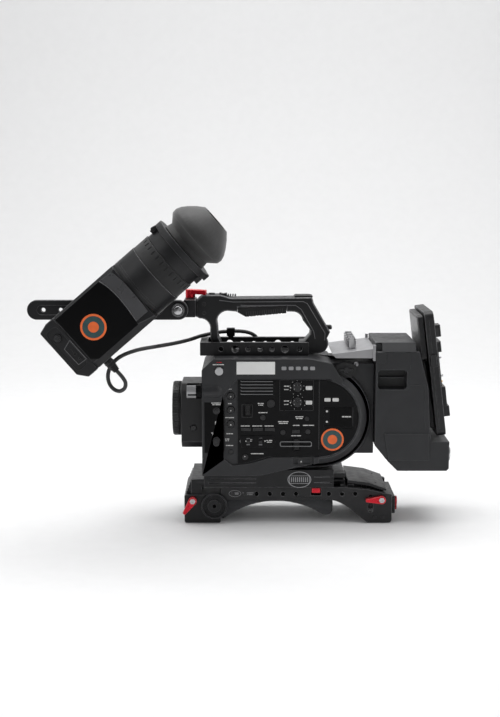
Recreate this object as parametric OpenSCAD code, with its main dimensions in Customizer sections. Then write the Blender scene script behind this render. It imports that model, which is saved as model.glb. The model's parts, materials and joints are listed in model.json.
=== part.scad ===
// Shoulder-mount cinema camera rig: camera body, top handle, viewfinder on an arm,
// rear extension with a battery plate, and a shoulder base with rod clamps.
// +Z is up, the lens looks along -X, and the operator's side (the controls) faces -Y.
// The origin is the tripod thread in the front block's underside.

/* [Camera body] */
// Length of the casing, front face to rear face
body_l = 224; // [180:1:270]
// Width of the casing
body_w = 112; // [92:1:136]
// Height of the casing
body_h = 155; // [128:1:188]
// Wall of the casing
wall = 2.5; // [2:0.1:3.2]
// Radius of the round rear end of the casing
drum_r = 67.5; // [56:0.5:76]
// Depth of the recess that holds the control panel
recess_d = 3; // [2.4:0.1:4]
// Height of the lens axis above the casing's underside
lens_z = 80; // [70:1:96]
// Radius of the lens throat
throat_r = 23; // [19:0.5:27.5]
// Radius of the cap on the lens mount
cap_r = 35.5; // [30:0.5:40]

/* [Shoulder base] */
// Length of the side plates behind the tripod thread
base_l = 249; // [222:1:300]
// Width of the base over its side plates
base_w = 96; // [84:1:115]
// Height of the side plates above the ground
base_h = 48; // [42:1:57]
// Thickness of a side plate
side_t = 7; // [5.8:0.2:8.4]
// Radius of the bores for the support rods
rod_r = 7.55; // [6.3:0.05:9]
// Distance between the two rods
rod_pitch = 60; // [52:1:66]
// Radius of the tripod thread
tripod_r = 4.8; // [4:0.1:5.7]
// Thickness of the sliding plate under the camera
slide_t = 16.7; // [14:0.1:20]

/* [Handle] */
// Height of the handle above the casing
handle_h = 75; // [66:1:90]
// Width of the handle
handle_w = 28; // [23:1:32]
// Width of the drilled deck under the handle
deck_w = 60; // [52:1:72]
// Height of the drilled deck
deck_h = 17.4; // [14.5:0.1:20.8]
// Radius of the small threads in the deck
small_r = 3.2; // [2.6:0.1:3.8]
// Radius of the large threads in the deck
large_r = 4.8; // [4:0.1:5.7]

/* [Viewfinder] */
// Diameter of the viewfinder's barrel
evf_d = 81.6; // [68:0.2:98]
// Length of the viewfinder's housing
evf_l = 94; // [78:1:113]
// Distance from the housing's front end back to its tilt pin
pin_from_front = 44.2; // [36:0.2:53]
// Length of the rubber eyecup past its neck
cup_l = 51.5; // [43:0.5:61]
// Angle of the viewfinder above the horizontal
evf_angle = 41; // [0:1:60]
// Length of the arm in front of its pivot
arm_l = 195; // [165:1:230]
// Height of the arm
arm_h = 25.4; // [21:0.2:30]
// Thickness of the arm
arm_t = 8; // [6.6:0.1:9.6]

/* [Rear extension] */
// Height of the extension
ext_h = 168; // [150:1:200]
// Length of the extension's lower part
ext_l = 97; // [85:1:116]
// Width of the battery plate
bat_w = 98; // [82:1:112]
// Lean of the battery plate
bat_lean = 7.2; // [4:0.1:9]

/* [Fits] */
// Gap between parts that move past each other
gap = 0.3; // [0.25:0.01:0.36]
// Radial clearance of a pin in its bore
pin_gap = 0.05; // [0.02:0.01:0.09]

/* [Hidden] */
$fn = 48;
eps = 0.01;

// --- shared places -------------------------------------------------------------------
half_w = body_w / 2;
face_y = -half_w;                        // operator's side of the casing
mount_half = 35;                         // half the width of the lens mount
dial_y = min(face_y + 7, -mount_half - 11.2 - gap);  // axis of the filter dial, beside the mount
body_x = 0;                              // front face of the casing
body_z = base_h + gap + slide_t;         // underside of the casing
top_z = body_z + body_h;
rear_x = body_x + body_l;                // rear face of the casing
floor_y = face_y + recess_d;             // floor of the control recess
panel_t = 1.6;
panel_y = floor_y - panel_t;             // outside of the control panel
deep_y = floor_y + wall + 0.5;           // inside of the casing's operator wall
drum_x = rear_x - 4 - drum_r;
drum_z = body_z + 9.5 + drum_r;
axis_z = body_z + lens_z;
tall = 400;                              // longer than any cut needs to be

// The controls sit on a grid that stretches with the casing's sides.
function gx(x) = body_x + x * body_l / 224;
function gz(z) = body_z + z * body_h / 155;
function arc(cx, cy, r, a0, a1, n) = [for (i = [0:n]) let (a = a0 + (a1 - a0) * i / n)
    [cx + r * cos(a), cy + r * sin(a)]];

// --- shared shapes -------------------------------------------------------------------
module xz(y0, y1) translate([0, y1, 0]) rotate([90, 0, 0]) linear_extrude(y1 - y0) children();
module yz(x0, x1) translate([x0, 0, 0]) rotate([90, 0, 90]) linear_extrude(x1 - x0) children();
module xy(z0, z1) translate([0, 0, z0]) linear_extrude(z1 - z0) children();
module rod_x(y, z, r, x0, x1) translate([x0, y, z]) rotate([0, 90, 0]) cylinder(r = r, h = x1 - x0);
module rod_y(x, z, r, y0, y1) translate([x, y1, z]) rotate([90, 0, 0]) cylinder(r = r, h = y1 - y0);
module rod_z(x, y, r, z0, z1) translate([x, y, z0]) cylinder(r = r, h = z1 - z0);
module box(a, b) translate(a) cube(b - a);
// A rectangle with round corners, from corner a to corner b
module round_rect(a, b, r) {
    translate([a.x + r, a.y]) square([b.x - a.x - 2 * r, b.y - a.y]);
    translate([a.x, a.y + r]) square([b.x - a.x, b.y - a.y - 2 * r]);
    for (x = [a.x + r, b.x - r], y = [a.y + r, b.y - r]) translate([x, y]) circle(r);
}
// A rectangle with cut corners
module cut_rect(a, b, c) polygon([[a.x + c, a.y], [b.x - c, a.y], [b.x, a.y + c], [b.x, b.y - c],
    [b.x - c, b.y], [a.x + c, b.y], [a.x, b.y - c], [a.x, a.y + c]]);

// === shoulder base ===================================================================
base_y = base_w / 2;
inner_y = base_y - side_t;               // inside of the side plates
front_l = 48;                            // front block, along the rods
front_h = 38;
rail_z = base_h - 17;                    // underside of the side plates' straight run
foot_l = 32;                             // length of the rear foot on the ground
hole_z = base_h - 9;
hole_r = 2.8;
hole_pitch = 17.3;
button_x = 149;                          // quick-release button
slot_x = base_l - 28;
slot_r = 2.9;
post_half = 2.4;                         // half the width of the posts in the slots
rod_z_mid = 22;                          // height of the rods above the ground
plate_x0 = front_l / 2;                  // front end of the side plates
bracket_x0 = base_l - 7;                 // rear bracket's front face
bracket_l = 12;
lever_stud = 2.5;                        // radius of the clamp levers' studs
front_lever_at = [-13, 30.5];
rear_lever_at = [slot_x + 14, base_h - 16];
back_lever_at = [-13.5, 22];               // y and z

module side_profile() {
    difference() {
        polygon(concat(
            [[plate_x0, rail_z], [plate_x0, base_h], [base_l - 60, base_h]],
            [[base_l - 30, base_h - 3], [base_l, base_h - 10], [base_l, 4]],
            arc(base_l - 4, 4, 4, 0, -90, 5),
            [[base_l - foot_l, 0]],
            [for (i = [0:8]) let (t = i / 8)
                [base_l - foot_l - 8 - 44 * t, 6 + (rail_z - 6) * sin(90 * t)]]
        ));
        for (i = [0:3]) translate([71 + i * hole_pitch, hole_z]) circle(hole_r);
        for (i = [0:2]) translate([base_l - 83 + i * hole_pitch, hole_z]) circle(hole_r);
        translate([button_x - 6.5, base_h - 11]) square([13, 11 + eps]);
        round_rect([slot_x - slot_r - 0.1, 14], [slot_x + slot_r + 0.1, base_h - 10], slot_r);
    }
}

module side_plates() color("#2b2b2d") difference() {
    for (s = [-1, 1]) xz(s > 0 ? inner_y : -base_y, s > 0 ? base_y : -inner_y) side_profile();
    rod_y(rear_lever_at.x, rear_lever_at[1], lever_stud + pin_gap, -base_y - 1, -inner_y + 1);
}

// Curved cover between the side plates, over the rear end
cover_x0 = base_l - 58;
module rear_cover() color("#2a2a2c") difference() {
    xz(-inner_y, inner_y) polygon([[cover_x0, base_h + 8], [cover_x0, base_h + 4.5],
        [base_l - 30, base_h + 0.5],
        [base_l - 8, base_h - 7], [base_l - 6, base_h - 4], [base_l - 30, base_h + 4.5]]);
    for (y = [-24, 24]) rod_z(base_l - 20, y, 1.6, base_h - 12, base_h + 8);
}

// Cross plate between the side plates, with the dovetail that the camera plate slides on
dove_w = 44;
dove_h = 10;
dove_z = base_h - dove_h;                // foot of the dovetail
pad_top = rail_z + 1;                    // underside of the cross plate
function dove_half(z) = dove_w / 2 + (z - dove_z) * 0.4;
module base_plate() color("#1d1d1f") difference() {
    union() {
        box([plate_x0, -inner_y, pad_top], [base_l - 50, inner_y, dove_z]);
        yz(plate_x0, base_l - 66) polygon([[-dove_half(dove_z - 1), dove_z - 1],
            [dove_half(dove_z - 1), dove_z - 1],
            [dove_half(base_h - 0.6), base_h - 0.6], [-dove_half(base_h - 0.6), base_h - 0.6]]);
        // web under the rear cover
        for (s = [-1, 1]) box([cover_x0, min(s * 30, s * inner_y), dove_z - 1],
            [base_l - 50, max(s * 30, s * inner_y), base_h + 2.8]);
    }
    for (x = [60:22:170]) rod_z(x, 0, 2.6, rail_z - 1, base_h);
    box([button_x - 7.5, -inner_y - 1, base_h - 12], [button_x + 7.5, -inner_y + 9, base_h]);
}

module front_block() color("#232325") difference() {
    xz(-base_y, base_y) cut_rect([-front_l / 2, 0], [front_l / 2, front_h], 1.5);
    for (s = [-1, 1]) rod_x(s * rod_pitch / 2, rod_z_mid, rod_r, -front_l / 2 - 1, front_l / 2 + 1);
    rod_z(0, 0, tripod_r, -1, 12);
    // seats of the two rosettes
    for (s = [-1, 1]) rod_y(15.5, 24, 2.6, s > 0 ? base_y - 9 : -base_y - 1,
        s > 0 ? base_y + 1 : -base_y + 9);
    // bore for the front lever's stud
    rod_y(front_lever_at.x, front_lever_at[1], lever_stud + pin_gap, -base_y - 1, -base_y + 8);
}

// Arched pad that rests on the shoulder
pad_x0 = front_l / 2 + gap;
pad_x1 = 172;
pad_y = inner_y - 2;
arch_r = 112;
arch_x = 97;
arch_z = 26;
module shoulder_pad() color("#3a3c40") difference() {
    xz(-pad_y, pad_y) difference() {
        polygon(concat([[pad_x0, 1]], [[pad_x0, pad_top], [pad_x1, pad_top], [pad_x1, 14]],
            arc(pad_x1 - 7, 14, 7, 0, -90, 6), [[pad_x1 - 15, 7]]));
        translate([arch_x, arch_z - arch_r]) circle(arch_r, $fn = 128);
    }
}

module lever_shape(l, tip) {
    circle(5.4);
    polygon([[-5.2, -1.4], [5.2, -1.4], [tip, -l], [-tip, -l]]);
}

// Clamp lever on a stud; it hangs a degrees from straight down, turned about +Y
module clamp_lever(at, a, stud_l) translate([at.x, -base_y - gap, at[1]]) {
    rotate([0, a, 0]) xz(-6, 0) lever_shape(21, 2);
    rod_y(0, 0, lever_stud, -1, gap + stud_l);
}
module front_lever() color("#c8102e") clamp_lever(front_lever_at, 34, 6);
module rear_lever() color("#c8102e") clamp_lever(rear_lever_at, 88, side_t - 4);

module back_lever() color("#c8102e") translate([bracket_x0 + bracket_l + gap, back_lever_at.x,
    back_lever_at[1]]) {
    yz(0, 5) lever_shape(13, 2);
    rod_x(0, 0, lever_stud, -6, 1);
}

// Rod clamp between the side plates at the rear, which slides up and down in their slots
module rear_bracket() color("#232325") difference() {
    union() {
        yz(bracket_x0, bracket_x0 + bracket_l) cut_rect([-inner_y + gap, rod_z_mid - 11.5],
            [inner_y - gap, rod_z_mid + 11.5], 2);
        for (s = [-1, 1]) box([slot_x - post_half, s > 0 ? inner_y - 7 : -base_y + 3, 22],
            [slot_x + post_half, s > 0 ? base_y - 3 : -inner_y + 7, base_h - 18]);
        for (s = [-1, 1]) box([slot_x - 4, s > 0 ? rod_pitch / 2 + rod_r + 1 : -inner_y + gap, 17],
            [bracket_x0 + 1, s > 0 ? inner_y - gap : -rod_pitch / 2 - rod_r - 1, base_h - 15.5]);
    }
    for (s = [-1, 1]) rod_x(s * rod_pitch / 2, rod_z_mid, rod_r, slot_x - 10, bracket_x0 + bracket_l + 1);
    rod_x(back_lever_at.x, back_lever_at[1], lever_stud + pin_gap, bracket_x0 + bracket_l - 8,
        bracket_x0 + bracket_l + 1);
}

module release_button() color("#d0142c") {
    box([button_x - 5.5, -base_y - 0.8, base_h - 7.5], [button_x + 5.5, -base_y + 4, base_h - 1]);
    box([button_x - 3, -base_y + 3.9, base_h - 6.5], [button_x + 3, -inner_y + 3, base_h - 2.5]);
}

module rosettes() color("#1c1c1e") for (s = [-1, 1]) mirror([0, s > 0 ? 1 : 0, 0]) difference() {
    translate([15.5, -base_y, 24]) rotate([90, 0, 0]) {
        cylinder(r = 15.5, h = 4);
        difference() {
            cylinder(r = 17, h = 6.5);
            translate([0, 0, 4 + eps]) cylinder(r = 15.4, h = 3);
        }
        translate([0, 0, 3.9]) cylinder(r = 8.5, h = 2.6);
    }
    rod_y(15.5, 24, 2.6, -base_y - 10, -base_y + 1);
}

module screw(r, h) difference() {
    cylinder(r = r, h = h);
    translate([0, 0, h * 0.45]) cylinder(r = r * 0.5, h = h, $fn = 6);
}
// Cap screws: two in each side plate, four that hold the camera plate's rails
module base_screws() color("#8d8f92") {
    for (s = [-1, 1], x = [40, 56]) translate([x, s * (base_y + eps), hole_z]) rotate([s * -90, 0, 0])
        screw(2.6, 1.4);
    for (s = [-1, 1], x = [base_l - 22, base_l - 12]) translate([x, s * (base_y + eps), 7.5])
        rotate([s * -90, 0, 0])
        screw(2.4, 1.2);
}

// === camera plate and casing =========================================================
plate_x1 = 188;
plate_w = base_w + 4;
slide_z = base_h + gap;                  // underside of the camera plate
module camera_plate() color("#222224") difference() {
    union() {
        xz(-plate_w / 2, plate_w / 2) polygon([[2, slide_z], [172, slide_z], [172, gz(7) - gap],
            [gx(104), gz(7) - gap],
            [gx(75), body_z - gap], [2, body_z - gap]]);
        // stepped stop in front, clear of the front block's top
        box([-15, -base_y + 3, dove_z + gap], [-1, base_y - 3, base_h + 10]);
        box([-1 - eps, -base_y + 3, slide_z], [2 + eps, base_y - 3, base_h + 10]);
        for (i = [0:3]) box([-22 + i * 1.6, -base_y + 8, dove_z + gap],
            [-15 + eps, base_y - 8, dove_z + 3 + i * 4]);
        for (z = [0, 8.5]) xz(-32, 32) translate([172 - eps, slide_z + z]) square([plate_x1 - 172, 6]);
        xz(-26, 26) translate([172 - eps, slide_z]) square([plate_x1 - 174, 14.5]);
        // keel that wraps the dovetail
        for (s = [-1, 1]) yz(30, 170) polygon([[s * (dove_half(dove_z + gap) + gap), dove_z + gap],
            [s * (dove_half(slide_z + 0.5) + gap), slide_z + 0.5], [s * (dove_w / 2 + 12), slide_z + 0.5],
            [s * (dove_w / 2 + 12), dove_z + gap]]);
    }
    // grooves along the operator's side and the other one
    for (s = [-1, 1], z = [5, 11]) box([8, s * (plate_w / 2) - 1.2, slide_z + z],
        [gx(70), s * (plate_w / 2) + 1.2, slide_z + z + 1.2]);
    for (s = [-1, 1], z = [6, 14]) box([155, s * (plate_w / 2) - 1.2, slide_z + z],
        [170, s * (plate_w / 2) + 1.2, slide_z + z + 1.2]);
    for (x = [50, 90]) rod_z(x, 0, 3.3, slide_z - 1, top_z);
}

module body_profile(g = 0) {
    polygon([[body_x + g, body_z + g], [body_x + g, top_z - 15 - g / 2], [body_x + 16 + g / 2, top_z - g],
        [gx(140), top_z - g], [gx(168), top_z - 6 - g], [drum_x + drum_r * 0.45, drum_z + drum_r * 0.8],
        [drum_x, drum_z], [drum_x, drum_z - drum_r + g],
        [gx(104), gz(7) + g], [gx(75), body_z + g]]);
    translate([drum_x, drum_z]) circle(drum_r - g, $fn = 96);
}
core_z0 = drum_z - drum_r * 0.74;
module core_profile(g = 0) translate([drum_x, core_z0 + g])
    square([rear_x - g - drum_x, top_z - 8 - g - core_z0 - g]);

panel_x0 = gx(46);
panel_r = drum_r - 17.5;                 // round end of the control panel
panel_z0 = gz(26);
panel_z1 = drum_z + panel_r + 1;
// Outline of the recess: the button strip, the control panel and its round rear end
module recess_profile() {
    polygon(concat([[gx(29), gz(22)], [gx(29), panel_z1 - 20]], [[gx(46), panel_z1], [drum_x, panel_z1]],
        [[drum_x, panel_z0 - 1], [gx(90), panel_z0 - 1], [gx(62), gz(17)], [gx(40), gz(14)]]));
    translate([drum_x, drum_z]) circle(panel_r + 0.6, $fn = 96);
}
module panel_profile(g = 0) {
    polygon([[panel_x0 + g, gz(16) + g], [panel_x0 + g, panel_z1 - 0.6 - g], [drum_x, panel_z1 - 0.6 - g],
        [drum_x, panel_z0 + g], [gx(88), panel_z0 + g], [gx(62), gz(18.5) + g]]);
    translate([drum_x, drum_z]) circle(panel_r - g, $fn = 96);
}

// Places of the controls: [x, z]
rec_at = [gx(22.4), gz(138.5)];
assign_at = [for (z = [106, 87.5, 69]) [gx(37.4), gz(z)]];
dial_at = [for (z = [118, 98]) [gx(123.5), gz(z)]];
menu_at = [gx(122.5), gz(42)];
iris_at = [gx(59.5), gz(87.5)];
power_at = [gx(128), gz(20.2)];
switch_at = [[gx(60), gz(46)], [gx(76), gz(46)]];
strip_at = [[gx(37.4), gz(32)]];                                    // small button on the strip
round_at = [[gx(79), gz(77.5), 3.2], [gx(56), gz(25), 3.6], [gx(136), gz(76), 2.6],
    [gx(105), gz(58), 3], [gx(137.5), gz(59), 3], [gx(89.4), gz(96), 5]];
bar_at = [[gx(57), gz(62), 12], [gx(72.5), gz(62), 12], [gx(88), gz(62), 12], [gx(122), gz(59), 9]];
side_at = [[gx(18.5), gz(86)], [gx(18.5), gz(43.5)]];               // buttons on the dark front strip
rec_r = 5.3;
assign_r = 4.4;
dial_r = 6.4;
wheel_r = 8;
wheel_w = 7;
wheel_y = floor_y + 2.5;                                            // axis of the two thumb wheels
press = 0.8;                                                        // travel of the small buttons
door_x0 = drum_x + 6;
door_x1 = drum_x + min(41.5, panel_r - 8.5);
door_z0 = drum_z - 14;
door_z1 = drum_z + 14;
door_t = 1.4;

module shell_left() color("#3a3b3e") difference() {
    union() {
        difference() {
            union() {
                xz(face_y + 10, -eps) body_profile();
                xz(face_y, face_y + 10 + eps) polygon([[body_x, body_z], [body_x, top_z - 15],
                    [body_x + 16, top_z], [gx(140), top_z], [gx(168), top_z - 6],
                        [drum_x + drum_r * 0.45, drum_z + drum_r * 0.7],
                    [drum_x, drum_z], [drum_x, drum_z - drum_r + 8], [gx(104), gz(7)], [gx(75), body_z]]);
                translate([drum_x, face_y + 10, drum_z]) rotate([90, 0, 0])
                    cylinder(r1 = drum_r, r2 = drum_r - 14, h = 10, $fn = 96);
                xz(face_y + 16, -eps) core_profile();
            }
            xz(deep_y, 0) body_profile(wall);
            xz(face_y + 16 + wall, 0) core_profile(wall);
            xz(face_y - 1, floor_y) recess_profile();
        }
        // bulge behind the filter dial
        rod_x(dial_y, gz(112), 10.6, body_x + 0.5, gx(19));
        translate([gx(19), dial_y, gz(112)]) sphere(10.6);
    }
    rod_x(0, axis_z, throat_r, body_x - 1, body_x + wall + 1);
    // room inside for the filter dial's bulge and its shaft
    box([body_x - 30, -72, gz(60)], [body_x, 0, gz(150)]);
    rod_x(dial_y, gz(112), 3.4, body_x - 1, body_x + 12);
    rod_y(rec_at.x, rec_at[1], rec_r + gap, face_y - 1, deep_y + 1);
    for (p = assign_at) rod_y(p.x, p[1], assign_r + gap, floor_y - 1, deep_y + 1);
    for (p = strip_at) rod_y(p.x, p[1], 2.8 + gap, floor_y - 1, floor_y + 2);
    for (p = side_at) rod_y(p.x, p[1], 4 + gap, face_y - 1, face_y + 2.6);
    for (p = [menu_at, iris_at]) box([p.x - wheel_w / 2 - gap, floor_y - 1, p[1] - wheel_r - gap],
        [p.x + wheel_w / 2 + gap, deep_y + 1, p[1] + wheel_r + gap]);
    xz(face_y - 1, face_y + 3) round_rect([power_at.x - 9, power_at[1] - 5],
        [power_at.x + 17, power_at[1] + 5], 1.5);
    // dark front strip, set in by half a millimetre
    xz(face_y - 1, face_y + 0.6) polygon([[body_x - 1, gz(22)], [gx(28), gz(22)], [gx(28), gz(98)],
        [body_x - 1, gz(98)]]);
}

grip_at = [gx(62), gz(45)];
socket_at = [78, 37, 221.6];
module shell_right() color("#35363a") difference() {
    union() {
        difference() {
            union() {
                xz(0, half_w) body_profile();
                xz(0, half_w - 6) core_profile();
            }
            xz(-1, half_w - wall) body_profile(wall);
            xz(-1, half_w - 6 - wall) core_profile(wall);
        }
        rod_y(grip_at.x, grip_at[1], 17, half_w - wall, half_w + 6);
        xz(half_w - wall, half_w + 9) round_rect([gx(14), gz(86)], [gx(84), gz(128)], 6);
        // socket for the viewfinder's lead
        rod_z(socket_at.x, socket_at.y, 5.5, top_z - 1, socket_at.z);
    }
    rod_x(0, axis_z, throat_r, body_x - 1, body_x + wall + 1);
    rod_y(grip_at.x, grip_at[1], 2.6, half_w - wall - 1, half_w + 7);
    for (x = [34, 64]) rod_y(gx(x), gz(107), 11, half_w + 1, half_w + 10);
    for (i = [0:6]) xz(half_w - wall - 1, half_w + 1) round_rect([gx(112), gz(70 + 7 * i)],
        [gx(160), gz(70 + 7 * i) + 3], 1.2);
}

// The plate with the controls, with the block that guards the two slide switches
guard_z = [gz(38.5), gz(53.5)];
module control_panel() color("#151517") difference() {
    union() {
        xz(panel_y, floor_y - eps) panel_profile(0.4);
        xz(panel_y - 1.6, panel_y + eps) polygon([[gx(49), guard_z[1]], [gx(51), guard_z[0]],
            [gx(92), guard_z[0]], [gx(95), (guard_z[0] + guard_z[1]) / 2], [gx(92), guard_z[1]]]);
        for (s = [-1, 1]) xz(panel_y - 1.2, panel_y + eps)
            round_rect([menu_at.x + s * 13 - 7, menu_at[1] - 2.5],
            [menu_at.x + s * 13 + 7, menu_at[1] + 2.5], 1.2);
    }
    for (p = round_at) rod_y(p.x, p[1], p[2] + gap, panel_y - 3, floor_y + 1);
    for (p = bar_at) box([p.x - p[2] / 2 - gap, panel_y - 3, p[1] - 2 - gap],
        [p.x + p[2] / 2 + gap, floor_y + 1, p[1] + 2 + gap]);
    for (p = [menu_at, iris_at]) box([p.x - wheel_w / 2 - gap, panel_y - 3, p[1] - wheel_r - gap],
        [p.x + wheel_w / 2 + gap, floor_y + 1, p[1] + wheel_r + gap]);
    for (p = switch_at) box([p.x - 2 - gap, panel_y - 3, p[1] - 5], [p.x + 2 + gap, floor_y + 1, p[1] + 5]);
    for (p = dial_at) rod_y(p.x, p[1], 2 + pin_gap, panel_y - 1, floor_y + 1);
    // loudspeaker louvres
    for (i = [0:4]) xz(panel_y - 1, floor_y - 0.5) square_at([gx(51), gz(106.5 + 4.5 * i)],
        [gx(94), gz(106.5 + 4.5 * i) + 2.8]);
    xz(panel_y - 1, floor_y + 1) square_at([door_x0 - gap, door_z0 - gap],
        [door_x1 + door_t + 1, door_z1 + gap]);
}
module square_at(a, b) translate(a) square(b - a);

module media_door() color("#0b0b0c") {
    xz(panel_y, panel_y + door_t) square_at([door_x0, door_z0], [door_x1, door_z1]);
    rod_z(door_x1, panel_y + door_t / 2, door_t / 2, door_z0, door_z1);
}

// Lens-side electronics: sensor, its board, the main board and the fan, on one bracket
board_half = min(34, body_w / 2 - 22);
module sensor_block() color("#3c6b3f") {
    yz(body_x + 22, body_x + 26) square_at([-board_half, axis_z - board_half],
        [board_half, axis_z + board_half]);
    yz(body_x + 18, body_x + 21.9) translate([-14, axis_z - 8]) square([28, 16]);
    box([body_x + 26.1, 20, body_z + 12], [gx(140), 22, top_z - 12]);
    difference() {
        box([gx(100), 24, gz(60)], [gx(140), 36, gz(60) + 40]);
        rod_y(gx(120), gz(60) + 20, 17, 23, 37);
    }
    rod_y(gx(120), gz(60) + 20, 8, 26, 36);
}

// === lens mount ======================================================================
mount_l = 28;
ring_r = cap_r - 1;
module lens_mount() color("#161618") difference() {
    union() {
        yz(body_x - mount_l, body_x - eps) cut_rect([-mount_half, axis_z - 48],
            [mount_half, axis_z + 38], 9);
        rod_x(0, axis_z, ring_r, body_x - mount_l - 3, body_x - mount_l + 1);
    }
    rod_x(0, axis_z, throat_r, body_x - mount_l - 4, body_x + 1);
    rod_x(0, axis_z, throat_r + 4, body_x - mount_l + 4, body_x - 4);
    rod_y(body_x - 12, axis_z - 20, 3.5 + gap, -36, -30);
}

// Knurled cap over the mount
module mount_cap() color("#1b1b1d") {
    x1 = body_x - mount_l - 3 - gap;
    difference() {
        union() {
            rod_x(0, axis_z, cap_r, x1 - 8.5, x1);
            for (i = [0:47]) translate([0, 0, axis_z]) rotate([i * 7.5, 0, 0])
                box([x1 - 7.5, -0.9, cap_r - 0.5], [x1 - 1, 0.9, cap_r + 0.6]);
        }
        rod_x(0, axis_z, cap_r - 6, x1 - 3, x1 + 1);
    }
    rod_x(0, axis_z, throat_r - 1, x1 - 3.5, x1 + 6);
}

// Filter dial on its shaft, in front of the casing
module nd_dial() color("#8b8b90") {
    rod_x(dial_y, gz(112), 10.4, body_x - 20, body_x - gap);
    for (i = [0:3]) translate([0, dial_y, gz(112)]) rotate([i * 90 + 20, 0, 0])
        box([body_x - 18, -1.2, 9.5], [body_x - 3, 1.2, 11.2]);
    rod_x(dial_y, gz(112), 3.4 - pin_gap, body_x - 1, body_x + 10);
}

module lens_release() color("#2a2a2c") rod_y(body_x - 12, axis_z - 20, 3.5, -36.5, -32.5);

// === controls ========================================================================
module rec_button() color("#d8d8da") rod_y(rec_at.x, rec_at[1], rec_r, face_y - 1, deep_y);
module assign_button(i) color("#2e2e31") rod_y(assign_at[i].x, assign_at[i][1], assign_r, floor_y - 1.6,
    deep_y - 0.5);

module panel_buttons() color("#2a2a2c") {
    y0 = panel_y - 0.8;
    for (p = round_at) rod_y(p.x, p[1], p[2], y0, floor_y - press - 0.2);
    for (p = bar_at) box([p.x - p[2] / 2, y0, p[1] - 2], [p.x + p[2] / 2, floor_y - press - 0.2, p[1] + 2]);
    for (p = strip_at) rod_y(p.x, p[1], 2.8, floor_y - 0.8, floor_y + 0.9);
    for (p = side_at) rod_y(p.x, p[1], 4, face_y - 0.1, face_y + 1.5);
}

module audio_dial(i) color("#1b1b1d") translate([dial_at[i].x, 0, dial_at[i][1]]) {
    difference() {
        rod_y(0, 0, dial_r, panel_y - 3.4, panel_y - gap);
        for (a = [0:30:330]) rotate([0, a, 0]) translate([dial_r + 0.3, 0, 0])
            rod_y(0, 0, 0.9, panel_y - 4, panel_y - 1);
        box([-0.5, panel_y - 4, 1.5], [0.5, panel_y - 3, dial_r - 1]);
    }
    rod_y(0, 0, 2, panel_y - 0.5, floor_y - 0.1);
}

module thumb_wheel(p) color("#242427") difference() {
    rod_x(wheel_y, p[1], wheel_r, p.x - wheel_w / 2, p.x + wheel_w / 2);
    for (a = [0:20:340]) translate([0, wheel_y, p[1]]) rotate([a, 0, 0])
        rod_x(0, wheel_r + 0.3, 0.8, p.x - 4, p.x + 4);
}

module power_switch() color("#202022") {
    difference() {
        box([power_at.x - 3, face_y - 0.4, power_at[1] - 4.4],
            [power_at.x + 3, face_y + 3 - gap, power_at[1] + 4.4]);
        for (x = [-1.6, 0, 1.6]) box([power_at.x + x - 0.3, face_y - 1, power_at[1] - 3],
            [power_at.x + x + 0.3, face_y + 0.1, power_at[1] + 3]);
    }
}

module slide_switch(i) color("#303033") translate([switch_at[i].x, 0, switch_at[i][1]]) {
    box([-2, panel_y - 3.4, -1.6], [2, floor_y - 0.2, 1.6]);
}

// === handle ==========================================================================
hw = handle_w / 2;
deck_x0 = gx(-3);
deck_x1 = gx(139);
deck_z1 = top_z + deck_h;
deck_hole_z = top_z + deck_h * 0.5;
rail_t = 7;
handle_z = top_z + handle_h;             // top of the handle
leg_x = gx(130);                         // front of the rear leg's foot
handle_shift = gx(130) - 130;
small_at = [24.5, 59.7, 75.5, 91, 127.4];   // threads along the deck, on the operator's side
large_at = [43, 107.8];
stagger = 8;                             // how far forward the far side's threads are of them
deck_floor_z = deck_hole_z - large_r - 0.4;  // floor between the rails, below the threads

module deck_thread(x, s, r) {
    at = gx(x) - (s > 0 ? stagger : 0);
    inner = deck_w / 2 - rail_t - 1;
    rod_y(at, deck_hole_z, r, s > 0 ? inner : -deck_w, s > 0 ? deck_w : -inner);
}
module deck_plate() color("#161618") difference() {
    union() {
        for (s = [-1, 1]) xz(s > 0 ? deck_w / 2 - rail_t : -deck_w / 2,
            s > 0 ? deck_w / 2 : -deck_w / 2 + rail_t)
            cut_rect([deck_x0, top_z + eps], [deck_x1, deck_z1], 0.8);
        // floor between the rails, below the threads, and the front end, ahead of them
        box([deck_x0, -deck_w / 2 + 1, top_z + eps],
            [leg_x - 4, deck_w / 2 - 1, deck_floor_z]);
        box([deck_x0, -deck_w / 2 + 1, top_z + eps],
            [min(deck_x0 + 10, gx(small_at[0]) - stagger - small_r - 1), deck_w / 2 - 1, deck_z1]);
    }
    for (s = [-1, 1]) {
        for (x = small_at) deck_thread(x, s, small_r);
        for (x = large_at) deck_thread(x, s, large_r);
    }
    for (x = [62, 84, 106], s = [-1, 1]) xy(top_z - 1, top_z + 8)
        round_rect([gx(x) - 6, s * 13 - 3], [gx(x) + 6, s * 13 + 3], 2.9);
}

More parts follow.
